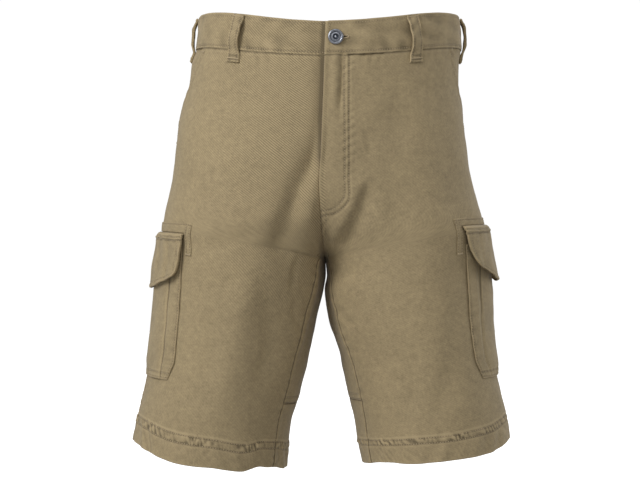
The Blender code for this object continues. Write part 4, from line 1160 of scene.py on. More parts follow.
def band_relief(along, drop, end):
    """Waves, rolled edges and the dents of its stitching, and the cloth's tone: paler worn edges,
    painted shade in its dents and at its foot, and tone that follows its waves. along is measured
    round the waist, and end from its lapped end."""
    top, foot = drop - WAIST_TOP, BAND_FOOT - drop
    height = 0.32 * ripple(along + 0.4 * drop, 23.0, 61) * bump(foot - 3, 9.0)
    height += 0.25 * ripple(along - 0.5 * drop, 31.0, 62) * bump(top - 3, 9.0)
    height += 0.35 * flat_waves(along, 1.8 * drop, 46.0, 8, 63)
    # Tone follows the waves, paler where raised and painted shade where sunk, and the top edge is
    # paler
    wear = 0.8 * height + 0.75 * bump(top, 1.6)
    # Painted shade in the dents of the rows
    for row in BAND_STITCH_ROWS:
        height = height - 0.28 * bump(drop - row, 0.9)
        wear = wear - (0.45 if row < 0 else 0.85) * bump(drop - row, 1.0)
    # The lapped end is paler at its edge with painted shade at its row; the foot gets painted shade
    # with a paler line just above it
    sewn_end = bump(end - BAND_END_ROW, 0.9)
    wear = wear + 1.4 * bump(end - 0.8, 1.5) - 0.6 * sewn_end
    wear = wear - 0.5 * bump(foot, 1.0) + 0.4 * bump(foot - 1.6, 0.8)
    return height - 0.25 * sewn_end, wear


def band_stations(charts):
    """(side, distance, lift) round the waistband, from its under end to its top end."""
    def middle(side, first):
        total = float(charts[side].total(0.0))
        return list(np.linspace(first, total, int((total - first) / BAND_STEP) + 1)[1:])

    hole = (HOLE_ENDS[0], HOLE_EYE, HOLE_ENDS[1])
    near = list(spread((0.0, 0.8, 4.0, 5.2, *hole, BAND_LAP_END), 1.9))
    rising = spread((BAND_LAP_END, BAND_RISE_END), 2.2)
    stations = [(LEFT, d, -LAP) for d in reversed(near)]
    stations += [(RIGHT, d, -LAP * ease((30 - d) / 26)) for d in spread((0.0, BAND_UNDER_END), 2.2)]
    stations += [(RIGHT, d, 0.0) for d in middle(RIGHT, BAND_UNDER_END)]
    stations += [(LEFT, d, 0.0) for d in reversed(middle(LEFT, BAND_RISE_END)[:-1])]
    stations += [(LEFT, d, LAP * ease((75 - d) / 30)) for d in reversed(rising)]
    stations += [(LEFT, d, LAP) for d in reversed(near[:-1])]
    return stations, len(near)


def add_waistband(charts):
    stations, near_count = band_stations(charts)
    count, rows = len(stations), BAND_ROWS
    sides, distances, lifts = np.array(stations).T
    ends = np.where(np.arange(count) >= count - near_count, distances, 99.0)
    places = []
    for chart, distance, end in zip([charts[side] for side, _, _ in stations], distances, ends):
        corner = max(0.0, 1 - end / BAND_CORNER)
        top = WAIST_TOP + BAND_CORNER * (1 - math.sqrt(1 - corner**2))
        drops = BAND_FOOT - (BAND_FOOT - rows) * (BAND_FOOT - top) / (BAND_FOOT - WAIST_TOP)
        drops = np.where(np.abs(rows) < 4, rows, drops)
        across = distance / chart.total(0.0) * chart.total(drops)
        places.append((*chart.place(drops, across), drops))
    points, normals, drops = (np.array(values) for values in zip(*places))
    along = travel(points[:, len(rows) // 2])[:, None] + 0 * drops
    level = BAND_LEVEL + lifts[:, None] + np.interp(rows, *zip(*BAND_ROUND))
    height, wear = band_relief(along, drops, ends[:, None])
    height[:near_count] = 0.0
    # The under end sinks and gets painted shade under the lapped end's edge
    beside = (bump(distances - 1.0, 3.2) * (sides == RIGHT))[:, None]
    height, wear = height - 0.7 * beside, wear - 1.5 * beside
    # The buttonhole and its wider eye are left open
    keep = np.ones((count - 1, len(rows) - 1), bool)
    off = np.abs((rows[:-1] + rows[1:]) / 2)
    middle = (distances[:-1] + distances[1:]) / 2
    slot = (middle > HOLE_ENDS[0]) & (middle < HOLE_ENDS[1])
    slot &= np.arange(count - 1) >= count - near_count
    keep[np.ix_(slot, off < HOLE_HEIGHT / 2)] = False
    keep[np.ix_(slot & (middle < HOLE_EYE), off < SLOT_HEIGHT / 2)] = False
    level = level + height
    piece = add_sheet(
        "waistband", LEFT, points, normals, np.stack([-along, -drops], axis=-1), level, BAND_CLOTH,
        wear, keep=keep
    )
    shown = np.arange(near_count, count - 3)
    for row in BAND_STITCH_ROWS:
        at = np.array([np.interp(row, drops[k], np.arange(len(rows))) for k in shown])
        low = np.floor(at).astype(int)
        place, normal, raised = (
            values[shown, low] * (1 - part) + values[shown, low + 1] * part
            for values, part in (
                (points, (at - low)[:, None]), (normals, (at - low)[:, None]), (level, at - low)
            )
        )
        sew("waistband_stitches", place, normal, raised)
    # The row across the lapped end, and the worked edge of the buttonhole
    top_level = BAND_LEVEL + LAP
    drops, distances = line(((-14.5, BAND_END_ROW), (16.5, BAND_END_ROW)))
    sew_on("waistband_stitches", charts[LEFT], drops, distances, top_level + 0.05)
    turn = np.linspace(0, 2 * math.pi, 90)
    half = (HOLE_ENDS[1] - HOLE_ENDS[0]) / 2
    distances = sum(HOLE_ENDS) / 2 + (half + 0.8) * signed_power(np.cos(turn), 0.5)
    eye = ease((HOLE_EYE + 1.0 - distances) / 1.5)
    tall = HOLE_HEIGHT / 2 + 0.8 + (SLOT_HEIGHT - HOLE_HEIGHT) / 2 * eye
    drops = tall * signed_power(np.sin(turn), 0.5)
    sew_on("buttonhole_thread", charts[LEFT], drops, distances, top_level + 0.15, **HOLE_EDGE)
    return piece


def add_belt_loops(charts):
    made = []
    drops = spread(LOOP["drop"], 1.6)[:, None]
    stand = read(LOOP, "stand", drops)
    across, crown = LOOP_SECTION["across"] * LOOP_WIDTH, LOOP_SECTION["crown"]
    rims = 1.4 * bump(np.abs(across) - LOOP_WIDTH / 2 + 0.6, 1.2)
    rows = 1.1 * bump(np.abs(across) - 5.0, 0.9)
    foot_rows = 0.9 * (bump(drops - 26.0, 0.9) + bump(drops - 30.6, 0.9))
    kinds = [(side, kind) for side in (RIGHT, LEFT) for kind in ("front", "side")]
    for number, (side, kind) in enumerate([*kinds, (LEFT, "back")]):
        chart = charts[side]
        name = "belt_loop_" + ("back" if kind == "back" else kind + "_" + chart.name)
        ripples = flat_waves(drops, across, 16.0, 6, 90 + number)
        thick = SIDE_LOOP_CLOTH if kind == "side" else LOOP_CLOTH
        level = LOOP_LEVEL + thick + 1.15 * stand + crown + 0.325 * ripples
        if kind == "front":
            level = level - 0.06 * stand * across
        if kind == "back":
            side = RIGHT
            points = centre_back_place(charts, drops, across)
            normals = grid_normals(points, side)
        else:
            lean = 2.5 - 6.0 * ease((20.0 - drops) / 38.0)
            middle = LOOP_FRONT + lean if kind == "front" else chart.outermost(drops)
            spread_foot = 1.0 + 0.12 * ease((drops - 20.0) / 6.0)
            points, normals = chart.place(drops, middle + spread_foot * across)
        uv = np.stack(np.broadcast_arrays(across + 40 * number, -drops), axis=-1)
        # Paler rims, tone following the ripples, painted shade in the dents of the rows and across
        # the foot, and the side loops painted darker all over as shade
        wear = rims + 0.3 * ripples - rows - foot_rows - 0.6 * (kind == "side")
        made.append(add_sheet(name, side, points, normals, uv, level, thick, wear))
        for edge in LOOP_EDGES:
            sew("belt_loop_stitches", points[:, edge], normals[:, edge], level[:, edge] + 0.05)
        for drop in LOOP_TACKS:
            row = int(np.argmin(np.abs(drops - drop)))
            place, normal = (
                columns_at(np.linspace(1, 11, 12), np.arange(len(across)), values[row])
                for values in (points, normals)
            )
            sew("belt_loop_stitches", place, normal, level[row].mean() + 0.15, **TACK)
    return made


# ---------------------------------------------------------------- the fly

def add_fly(charts):
    """The underlap, and the zip: its tape, its teeth and the slider at the top of the chain."""
    drops = spread(UNDERLAP_DROPS, 2.4)[:, None]
    xs = UNDERLAP["across"]
    across = spread((xs[0], xs[-1]), 2.2)
    points = centre_place(charts, drops, across)
    level = smooth_between(across, xs, UNDERLAP["level"]) + 0.12 * waves(points, 24.0, 6, 71)
    uv = np.stack(np.broadcast_arrays(across, -drops), axis=-1)
    wear = 0.4 * bump(across - xs[-1], 2.0)
    normals = grid_normals(points, LEFT)
    underlap = add_sheet("fly_underlap", LEFT, points, normals, uv, level, CLOTH, wear)

    chart = charts[LEFT]
    drops = spread(ZIP_DROPS, 2.4)[:, None]
    across = spread(ZIP_TAPE, 1.7)
    points, normals = chart.place(drops, across)
    tape = add_sheet(
        "zip", LEFT, points, normals, chart.uv(drops, across),
        TAPE_LEVEL + 0.1 * waves(points, 15.0, 5, 72), TAPE_CLOTH, 0.0, tape_cloth,
        name="zip_tape"
    )

    box = [(x, y, z) for x in (-1, 1) for y in (-1, 1) for z in (-1, 1)]
    box_faces = ((0, 1, 3, 2), (4, 6, 7, 5), (0, 4, 5, 1), (2, 3, 7, 6), (0, 2, 6, 4), (1, 5, 7, 3))
    verts, faces = [], []
    for k, drop in enumerate(np.arange(ZIP_DROPS[0] + 5.0, ZIP_DROPS[1] - 2.0, ZIP_PITCH)):
        middle = ZIP_MIDDLE + (1.15 if k % 2 else -1.15)
        place, normal = chart.place(drop, middle)
        right = unit(chart.place(drop, middle + 1.0)[0] - place)
        down = np.cross(right, normal)
        faces += [tuple(len(verts) + c for c in face) for face in box_faces]
        for x, y, z in box:
            taper = 0.75 if (x > 0) == (k % 2 == 0) else 1.0
            out = TOOTH_LEVEL + z * 0.75 * taper
            verts.append(place + right * (x * 2.0) + down * (y * 0.55 * taper) + normal * out)
    teeth = add_object("zip_teeth", verts, faces, zip_metal, "zip")
    select_only(teeth)
    bpy.ops.object.mode_set(mode="EDIT")
    bpy.ops.mesh.select_all(action="SELECT")
    bpy.ops.mesh.normals_make_consistent(inside=False)
    bpy.ops.object.mode_set(mode="OBJECT")

    place, normal = chart.place(ZIP_DROPS[0] + 3.5, ZIP_MIDDLE)
    right = chart.place(ZIP_DROPS[0] + 3.5, ZIP_MIDDLE + 1.0)[0] - place
    add_slider(place + normal * -0.6, right, -normal)
    return underlap, tape


def select_only(obj):
    bpy.ops.object.select_all(action="DESELECT")
    obj.select_set(True)
    bpy.context.view_layer.objects.active = obj


def settle(obj, place, right, normal):
    """Turns a piece made at the origin with its face up, and moves it, all in its mesh."""
    z = Vector(normal).normalized()
    y = z.cross(Vector(right).normalized()).normalized()
    turn = Matrix((y.cross(z), y, z)).transposed().to_4x4()
    obj.data.transform(Matrix.Translation(Vector(place) * MM) @ turn)


def add_slider(place, right, normal):
    """The zip's slider: a bevelled body with its bridge, and the pull lying down the chain."""
    blocks = (
        ((0.0, 0.0, 0.0), (7.5, 9.0, 2.4), 0.7), ((0.0, 0.5, 1.7), (2.2, 6.0, 1.6), 0.4),
        ((0.0, -9.5, 1.3), (4.6, 14.0, 1.1), 0.45),
    )
    obj = add_object("zip_slider", [], [], zip_metal, "zip")
    select_only(obj)
    bpy.ops.object.mode_set(mode="EDIT")
    for middle, size, bevel in blocks:
        middle = tuple(MM * x for x in middle)
        bpy.ops.mesh.select_all(action="DESELECT")
        bpy.ops.mesh.primitive_cube_add(size=1, location=middle)
        bpy.ops.transform.resize(value=tuple(MM * x for x in size), center_override=middle)
        bpy.ops.mesh.bevel(offset=bevel * MM, segments=2, affect="EDGES")
    bpy.ops.object.mode_set(mode="OBJECT")
    settle(obj, place, right, normal)


def add_button(charts):
    """Turned from its profile: one round of edges spun about its axis."""
    turns = 2 * math.pi * np.arange(BUTTON_STEPS) / BUTTON_STEPS
    verts = [
        (radius * math.cos(turn), radius * math.sin(turn), level)
        for radius, level in zip(BUTTON["radius"], BUTTON["level"]) for turn in turns
    ]
    ids = np.arange(len(verts)).reshape(-1, BUTTON_STEPS)
    after = np.roll(ids, -1, axis=1)
    sides = np.stack([ids[:-1], after[:-1], after[1:], ids[1:]], axis=-1).reshape(-1, 4)
    faces = [*sides.tolist(), ids[0, ::-1].tolist(), ids[-1].tolist()]
    obj = add_object("button_metal", verts, faces, button_metal, "button")
    set_values(obj, "wear", np.repeat(BUTTON["wear"], BUTTON_STEPS))
    place, normal = charts[LEFT].place(0.0, BUTTON_ACROSS)
    right = charts[LEFT].place(0.0, BUTTON_ACROSS + 1.0)[0] - place
    settle(obj, place, right, normal)
    smooth_under(obj, 38.0)


# ---------------------------------------------------------------- hand pockets

def add_facing(chart):
    drops = spread(FACING_DROPS, 2.4)[:, None]
    seam, front = chart.seam(drops) - SEAM_GAP / 2, chart.mouth(drops) + 1.0
    corners = np.concatenate([
        front - 16.0, front - 8.0, front, front * 0.6 + seam * 0.4, front * 0.3 + seam * 0.7, seam
    ], axis=1)
    t, marks = np.linspace(0, 5, 36), np.arange(6)
    distances = np.array([np.interp(t, marks, row) for row in corners])
    points, normals = chart.place(drops, distances)
    level = np.interp(t, marks, FACING_LEVELS) + 0.15 * waves(points, 22.0, 6, 80)
    level = level - 0.6 * bump(distances - seam, 1.2)
    # Painted shade by the mouth's edge and along the seam
    wear = -0.5 * bump(distances - front, 3.0) - 0.5 * bump(distances - seam, 1.4)
    return add_sheet(
        "facing_" + chart.name, chart.side, points, normals, chart.uv(drops, distances), level,
        CLOTH, wear
    )


def add_pocket_bag(chart):
    drops = spread(BAG["drop"], 3.2)[:, None]
    start, stop = read(BAG, "front", drops), read(BAG, "back", drops)
    t = np.linspace(0, 1, 44)
    distances = chart.seam(drops) + start + (stop - start) * t
    points, normals = chart.place(drops, distances)
    edge = np.minimum(np.minimum(t, 1 - t) * 130, drops[-1] - drops)
    sewn = bump(edge - 5.5, 1.6)
    # Its sewn edge sinks, and painted shade darkens it there
    level = BAG_LEVEL + 0.35 * waves(points, 46.0, 7, 81) * ease(edge / 20) - 0.35 * sewn
    return add_sheet(
        "pocket_bag_" + chart.name, chart.side, points, normals, chart.uv(drops, distances), level,
        BAG_CLOTH, -0.5 * sewn, pocketing
    )


# ---------------------------------------------------------------- cargo pockets

def cargo_level(across, down):
    """Outer level of the cargo pocket. across: -1 front to 1 back. down: 0 top to 1 bottom."""
    swell = np.interp(np.abs(across), CARGO_SWELL["across"], CARGO_SWELL["level"]) - CARGO_EDGE
    return CARGO_EDGE + swell * (0.55 + 0.45 * ease(down / 0.3)) * ease((1 - down) / 0.12)


def cargo_half(name, down):
    clip = CARGO_CLIP * np.clip((down - CARGO_CLIP_FROM) / (1 - CARGO_CLIP_FROM), 0, 1)
    return CARGO_HALF * (1 - CARGO_NARROW[name] * down) - clip


def cargo_relief(name, across, down):
    """The sewn edges, bellows folds and puckers of the cargo pocket, and the cloth's tone: paler
    worn edges, painted light and shade on the pleat, and painted shade in the dents of its rows.
    """
    seed = 110 if name == "right" else 130
    half = cargo_half(name, down)
    inside = (1 - np.abs(across)) * half
    foot = (1 - down) * CARGO_HEIGHT
    fold = np.abs(across) * half - PLEAT_AT[name]
    fade = 1.0 if name == "right" else 1.0 - 0.75 * ease((down - 0.3) / 0.35)
    height = fade * (0.55 * ease(0.5 - fold / 1.6) - 0.95 * bump(fold - 0.2, 0.9))
    # A painted highlight beside the pleat and painted shade in its fold
    wear = fade * (0.75 * bump(fold + 1.5, 1.1) - 1.5 * bump(fold - 0.3, 0.85))
    pull = 0.3 * ripple(down * 152 + 4 * across, 7.0, seed) * bump(inside - 4.2, 2.4)
    pull += 0.3 * ripple(down * 152 + 30 * across, 19.0, seed + 3) * bump(inside - 4, 5.0)
    pull += 0.36 * ripple(across * half + 0.4 * foot, 12.0, seed + 1) * bump(foot - 6, 6.0)
    pull += 0.34 * flat_waves(across * half, down * 95, 40.0, 8, seed + 2)
    # Tone follows the puckers: paler where raised, painted shade where sunk
    height, wear = height + pull, wear + 0.45 * pull
    for row in CARGO_FOOT_ROWS:
        height = height - 0.42 * bump(foot - row, 0.8)
        # Painted shade in each foot row's dent, and a paler line beside it
        wear = wear - 1.15 * bump(foot - row, 0.9) + 0.5 * bump(foot - row - 2.0, 1.0)
    height = height - 0.42 * bump(inside - CARGO_EDGE_ROW, 0.7)
    # Paler worn edges, and painted shade in the edge row's dent
    wear = wear + 1.5 * bump(inside - 0.4, 1.0) + 1.1 * bump(foot - 0.4, 1.0)
    return height, wear - 0.9 * bump(inside - CARGO_EDGE_ROW, 0.8)


def pocket_cloth(chart, across, down):
    """Place and relief of the cargo pocket's cloth: drops, distances, levels, and tone of wear and
    painted shade.
    """
    across, down = together(across, down)
    rows = CARGO_TOP + down * CARGO_HEIGHT
    height, wear = cargo_relief(chart.name, across, down)
    distances = chart.outermost(rows) + cargo_half(chart.name, down) * across
    drops = rows + CARGO_BOW * down * (1 - across**2)
    return drops, distances, cargo_level(across, down) + height, wear


def both_ways(shares):
    return np.unique(np.round(np.concatenate([-np.array(shares), shares]), 5))


def add_pocket_piece(chart, node, cloth, across, down, thickness):
    """A piece whose cloth is a function of the shares across and down it. Returns it with a
    function that sews a row along it."""
    drops, distances, level, wear = cloth(chart, across, down)
    points, normals = chart.place(drops, distances)
    piece = add_sheet(
        "%s_%s" % (node, chart.name), chart.side, points, normals, chart.uv(drops, distances),
        level, thickness(level), wear
    )

    def sew_row(across, down):
        drops, distances, level, _ = cloth(chart, across, down)
        sew_on("%s_%s_stitches" % (node, chart.name), chart, drops, distances, level + 0.05)

    return piece, sew_row


def add_cargo_pocket(chart):
    from_edge = [0.0, 0.5, 1.1, 1.8, 2.5, 3.4, 4.4, 5.6, 7.2, 9.0]
    from_edge += [*np.arange(10.5, 32.0, 1.05), *np.arange(33.5, 99.0, 2.3)]
    across = both_ways(1 - np.array(from_edge) / CARGO_HALF)[None, :]
    from_foot = graded(((0.0, 0.9), (0.9, 1.0), (9.5, 1.8), (24.0, 2.3), (CARGO_HEIGHT, 0.0)))
    down = 1 - from_foot[::-1][:, None] / CARGO_HEIGHT
    piece, sew_row = add_pocket_piece(
        chart, "cargo_pocket", pocket_cloth, across, down,
        lambda level: np.clip(level - LIFT + 0.1, 0.9, CLOTH + 0.4)
    )
    down = np.linspace(0.0, 1.0, 90)
    for end in (-1, 1):
        sew_row(end * (1 - CARGO_EDGE_ROW / cargo_half(chart.name, down)), down)
    reach = 1 - CARGO_EDGE_ROW / CARGO_HALF
    for foot in CARGO_FOOT_ROWS:
        sew_row(np.linspace(-reach, reach, 90), 1 - foot / CARGO_HEIGHT)
    return piece


def flap_bow(distance):
    """How much lower the flap's top edge lies this far from the outermost line of the leg."""
    return FLAP_BOW * np.maximum(1 - (distance / FLAP_HALF) ** 2, 0.0)


def flap_shape(name, across, down):
    """Drop, distance from the middle and inner level on the flap, and its length there."""
    flap = dict(zip(FLAP_NAMES, FLAPS[name]))
    length = flap["length"] - flap["shorter"] * np.abs(across) ** FLAP_CURVE
    curl = np.clip((down - flap["straight"]) / (1 - flap["straight"]), 0, 1)
    cut_off = flap["slant"] * down + flap["corner"] * (1 - np.sqrt(1 - curl**2))
    offset = (FLAP_HALF - cut_off) * across
    drops = flap["top"] + flap_bow(offset) + length * down
    under_down = np.clip((drops - CARGO_TOP) / 160, 0, 1)
    under = cargo_level(np.clip(offset / CARGO_HALF, -1, 1), under_down)
    rest = LIFT + ease(length * down / 6.0) * (under + FLAP_REST)
    inner = rest + flap["flare"] * down**2 * (0.5 + 0.5 * np.abs(across))
    return drops, offset, inner, length


def flap_cloth(chart, across, down):
    """Place and relief of the flap's cloth: drops, distances, levels, and tone of wear and painted
    light.
    """
    seed = 160 if chart.name == "right" else 180
    across, down = together(across, down)
    drops, offset, inner, length = flap_shape(chart.name, across, down)
    foot, top = (1 - down) * length, down * length
    inside = np.minimum((1 - np.abs(across)) * FLAP_HALF, foot)
    pull = 0.34 * flat_waves(offset, 0.6 * drops, 34.0, 8, seed)
    pull = pull + 0.26 * ripple(offset + 0.5 * drops, 13.0, seed + 1) * bump(inside - 3, 4.0)
    wobble = 0.3 * ripple(offset, 26.0, seed + 2)
    first, second = FLAP_TOP_ROWS
    rolled = 1.0 * bump(top - 2.2 - wobble, 1.7) + 0.65 * bump(top - 6.2 - wobble, 1.3)
    dents = bump(top - first - wobble, 0.8) + 1.3 * bump(top - second - wobble, 1.0)
    row = bump(inside - FLAP_EDGE_ROW, 0.85) * ease((top - 9) / 5)
    height = pull + rolled - 0.7 * dents - 0.45 * row
    height = height + 0.3 * strip(inside, 0.8, 5.0, 1.6) - 0.35 * bump(inside, 0.9)
    # Painted highlights on the rolled top, painted shade in the rows' dents, tone following the
    # puckers, and a paler edge
    wear = 0.4 * pull + 0.6 * rolled - 1.1 * dents - 0.8 * row + 0.8 * bump(inside - 0.3, 1.2)
    if chart.name == "right":
        # Its ends lift off the pocket
        height = height + 1.6 * ease((np.abs(across) - 0.8) / 0.2) * strip(down, 0.3, 1.1, 0.4)
    return drops, chart.outermost(drops) + offset, inner + FLAP_CLOTH + height, wear


def add_cargo_flap(chart):
    ends = (0.0, 0.6, 1.4, 2.4, 3.4, 4.4, 5.2, 6.0, 6.9, 8.2, 10.0)
    shares = np.concatenate([1 - np.array(ends) / FLAP_HALF, np.linspace(0.0, 0.89, 43)])
    rows = [*np.arange(0, 10.5, 0.75), *np.linspace(11.5, 55.0, 20), *np.arange(56.0, 66.1, 0.9)]
    down = np.array([*rows, FLAP_ROW_LENGTH])[:, None] / FLAP_ROW_LENGTH
    piece, sew_row = add_pocket_piece(
        chart, "cargo_flap", flap_cloth, both_ways(shares)[None, :], down, lambda _: FLAP_CLOTH
    )

    def length(across):
        return FLAP_ROW_LENGTH - FLAP_ROW_SHORTER * np.abs(across) ** FLAP_CURVE

    end = 1 - FLAP_EDGE_ROW / FLAP_HALF
    across = np.linspace(-end, end, 110)
    low = 1 - FLAP_EDGE_ROW / length(across)
    down = np.linspace(0.16, low[0], 34)
    across = np.concatenate([np.full(34, -end), across, np.full(34, end)])
    path = np.stack([across, np.concatenate([down, low, down[::-1]])], axis=1)
    sew_row(*rounded(path, 7).T)
    across = np.linspace(-0.98, 0.98, 110)
    for inset in FLAP_TOP_ROWS:
        sew_row(across, inset / length(across))
    return piece


def add_flap_stay(chart):
    top, foot, end = STAYS[chart.name]
    rows = np.concatenate([spread((top, foot), 1.0), spread((foot, end), 1.8)[1:]])
    inside = STAY_HALF - STAY_WIDTH
    ends = np.array([0.0, 0.7, 1.6, 2.5, 4.4, 6.6, 7.6, 8.5, STAY_WIDTH])
    middle = np.linspace(-inside, inside, 90)[1:-1]
    across = np.concatenate([-STAY_HALF + ends, middle, STAY_HALF - ends[::-1]])
    keep = np.ones((len(rows) - 1, len(across) - 1), bool)
    between_strips = np.abs((across[:-1] + across[1:]) / 2) < inside
    keep[np.ix_(rows[:-1] >= foot - 0.05, between_strips)] = False
    drops = rows[:, None] + flap_bow(across)
    distances = chart.outermost(drops) + across
    points, normals = chart.place(drops, distances)
    from_top, from_end = (rows - top)[:, None], STAY_HALF - np.abs(across)
    ripples = 0.14 * flat_waves(across, 1.4 * drops, 17.0, 7, 150 + chart.side)
    dents = bump(from_top - STAY_STITCH_ROWS[0], 0.75)
    for row in STAY_STITCH_ROWS:
        dents = np.maximum(dents, bump(from_end - row, 0.75) * (from_top > STAY_STITCH_ROWS[0]))
    edge = np.maximum(bump(from_top, 1.0), bump(from_end, 1.0))
    name, above = "flap_stay_" + chart.name, STAY_REST + STAY_CLOTH
    # Its tone follows its ripples, is paler at its edges, and has painted shade in the rows' dents
    piece = add_sheet(
        name, chart.side, points, normals, chart.uv(drops, distances),
        panel_level(chart, drops, distances) + above + ripples - 0.3 * dents, STAY_CLOTH,
        0.7 * ripples + 0.45 * edge - 0.8 * dents, keep=keep
    )
    group, above = name + "_stitches", above - 0.05

    def sew_stay(path):
        drops, places = line(path)
        drops = drops + flap_bow(places)
        places = chart.outermost(drops) + places
        sew_on(group, chart, drops, places, panel_level(chart, drops, places) + above)

    reach, sewn_top = STAY_HALF - STAY_STITCH_ROWS[0], top + STAY_STITCH_ROWS[0]
    sew_stay(((sewn_top, -reach), (sewn_top, reach)))
    for hand in (-1, 1):
        for row in STAY_STITCH_ROWS:
            place = hand * (STAY_HALF - row)
            sew_stay(((top + 2, place), (end - 1, place)))
        middle = chart.outermost(end) + hand * (STAY_HALF - STAY_WIDTH / 2 + 0.1)
        bar_tack(group, chart, end - 1.4, middle, 7.8, above + 0.3)
    return piece


# ---------------------------------------------------------------- stitches on the panels

def add_panel_stitches(charts):
    for side, chart in charts.items():
        name = chart.name
        hem = HEM if side == RIGHT else LEFT_HEM
        distances = np.linspace(0.0, chart.total(440.0), 260)
        for row in hem_rows(side, distances):
            real = real_drop(side, row)
            stretch = chart.total(real) / distances[-1]
            sew_on("hem_stitches_" + name, chart, real, distances * stretch)
        # The rows of the side seam stop where the cargo pocket lies over it
        drops = np.linspace(21.5, hem - 32.0, 220)
        for behind in SIDE_ROWS:
            for part in (drops[drops < 210], drops[drops > 396]):
                sew_on("side_seam_stitches_" + name, chart, part, chart.seam(part) + behind)
        drops = np.linspace(21.0, POCKET_MOUTH_END - 1, 60)
        for ahead in MOUTH_ROWS:
            sew_on("pocket_mouth_stitches_" + name, chart, drops, chart.mouth(drops) - ahead)
        for drop in (126.0, 24.0):
            middle = chart.mouth(drop) - 4.5
            bar_tack("pocket_mouth_stitches_" + name, chart, drop + 0.5, middle, 8.0, 0.6)
        for row in GUSSET_END_ROWS:
            real = float(real_drop(side, row))
            total = chart.total(real)
            start = total - read(GUSSET, "back", row) + 1
            distances = np.linspace(start, total + read(GUSSET, name, row) - 1, 60)
            wrapped = np.where(distances > total, distances - total, distances)
            drops = np.full(60, real)
            points, normals = chart.place(drops, distances)
            sew("gusset_stitches", points, normals, panel_level(chart, drops, wrapped))
    chart = charts[LEFT]
    for path in (FLY_ROW, FLY_INNER_ROW):
        sew_on("fly_stitches", chart, *line(path))
    for across in STRIP_ROWS:
        drops = np.linspace(FLY_END + 14, CROTCH - 2, 20)
        sew_on("fly_stitches", chart, drops, across)
        drops = np.linspace(21.5, CROTCH - 4, 110)
        sew_on("seat_stitches", chart, drops, chart.total(drops) - across)
    bar_tack("fly_stitches", chart, 173.0, 4.5, 8.0, 1.2)


# ---------------------------------------------------------------- finishes

class Value:
    """A number that varies over a surface. Arithmetic on it adds Math nodes."""

    def __init__(self, finish, socket):
        self.finish, self.socket = finish, socket

    def maths(self, operation, *values):
        sockets = [v.socket if isinstance(v, Value) else v for v in values]
        node = self.finish.node("ShaderNodeMath", {"operation": operation}, *sockets)
        return Value(self.finish, node.outputs[0])

    def __add__(self, other):
        return self.maths("ADD", self, other)

    def __sub__(self, other):
        return self.maths("SUBTRACT", self, other)

    def __mul__(self, other):
        return self.maths("MULTIPLY", self, other)

    def wave(self):
        """0 to 1, once for each whole step of the number."""
        return self.maths("SINE", self * (2 * math.pi)) * 0.5 + 0.5

    def limited(self, low=0.0, high=1.0):
        return self.maths("MINIMUM", self.maths("MAXIMUM", self, low), high)


class Finish:
    """A material, with one method that adds any node to it."""

    def __init__(self, name, roughness, metallic=0.0, **constants):
        self.material = bpy.data.materials.new(name)
        self.material.use_nodes = True
        self.tree = self.material.node_tree
        self.shader = self.tree.nodes["Principled BSDF"]
        constants.update(Roughness=roughness, Metallic=metallic)
        for socket, value in constants.items():
            self.shader.inputs[socket.replace("_", " ")].default_value = value

    def node(self, kind, settings, *inputs, **named):
        node = self.tree.nodes.new(kind)
        for setting, value in settings.items():
            setattr(node, setting, value)
        for key, value in [*enumerate(inputs), *named.items()]:
            value = value.socket if isinstance(value, Value) else value
            if isinstance(value, bpy.types.NodeSocket):
                self.tree.links.new(value, node.inputs[key])
            else:
                node.inputs[key].default_value = value
        return node

    def solid(self):
        """Places in the object's own space, in metres."""
        return self.node("ShaderNodeTexCoord", {}).outputs["Object"]

    def point_value(self, name):
        """A number that each point of the mesh holds."""
        node = self.node("ShaderNodeAttribute", {"attribute_name": name})
        return Value(self, node.outputs["Fac"])

    def cloth_place(self):
        """The cloth's UV map, and places along and across it in millimetres."""
        uv = self.node("ShaderNodeUVMap", {"uv_map": "cloth"}).outputs["UV"]
        parts = self.node("ShaderNodeSeparateXYZ", {}, uv).outputs
        return uv, Value(self, parts["X"]) * 1000.0, Value(self, parts["Y"]) * 1000.0

    def noise(self, vector, scale, detail=2.0, roughness=0.5):
        node = self.node(
            "ShaderNodeTexNoise", {}, Vector=vector, Scale=scale, Detail=detail, Roughness=roughness
        )
        return Value(self, node.outputs["Fac"])

    def mix(self, factor, first, second):
        """A mix of two colours: sockets 6, 7 and 2 of the node, as others share their names."""
        node = self.node("ShaderNodeMix", {"data_type": "RGBA"}, factor)
        for key, value in ((6, first), (7, second)):
            if isinstance(value, bpy.types.NodeSocket):
                self.tree.links.new(value, node.inputs[key])
            else:
                node.inputs[key].default_value = (*value, 1.0)
        return node.outputs[2]

    def feed(self, socket, value):
        value = value.socket if isinstance(value, Value) else value
        self.tree.links.new(value, self.shader.inputs[socket])

    def raised(self, height, strength, distance):
        node = self.node("ShaderNodeBump", {}, Strength=strength, Distance=distance, Height=height)
        self.feed("Normal", node.outputs["Normal"])


def scaled(colour, by):
    return tuple(c * by for c in colour)


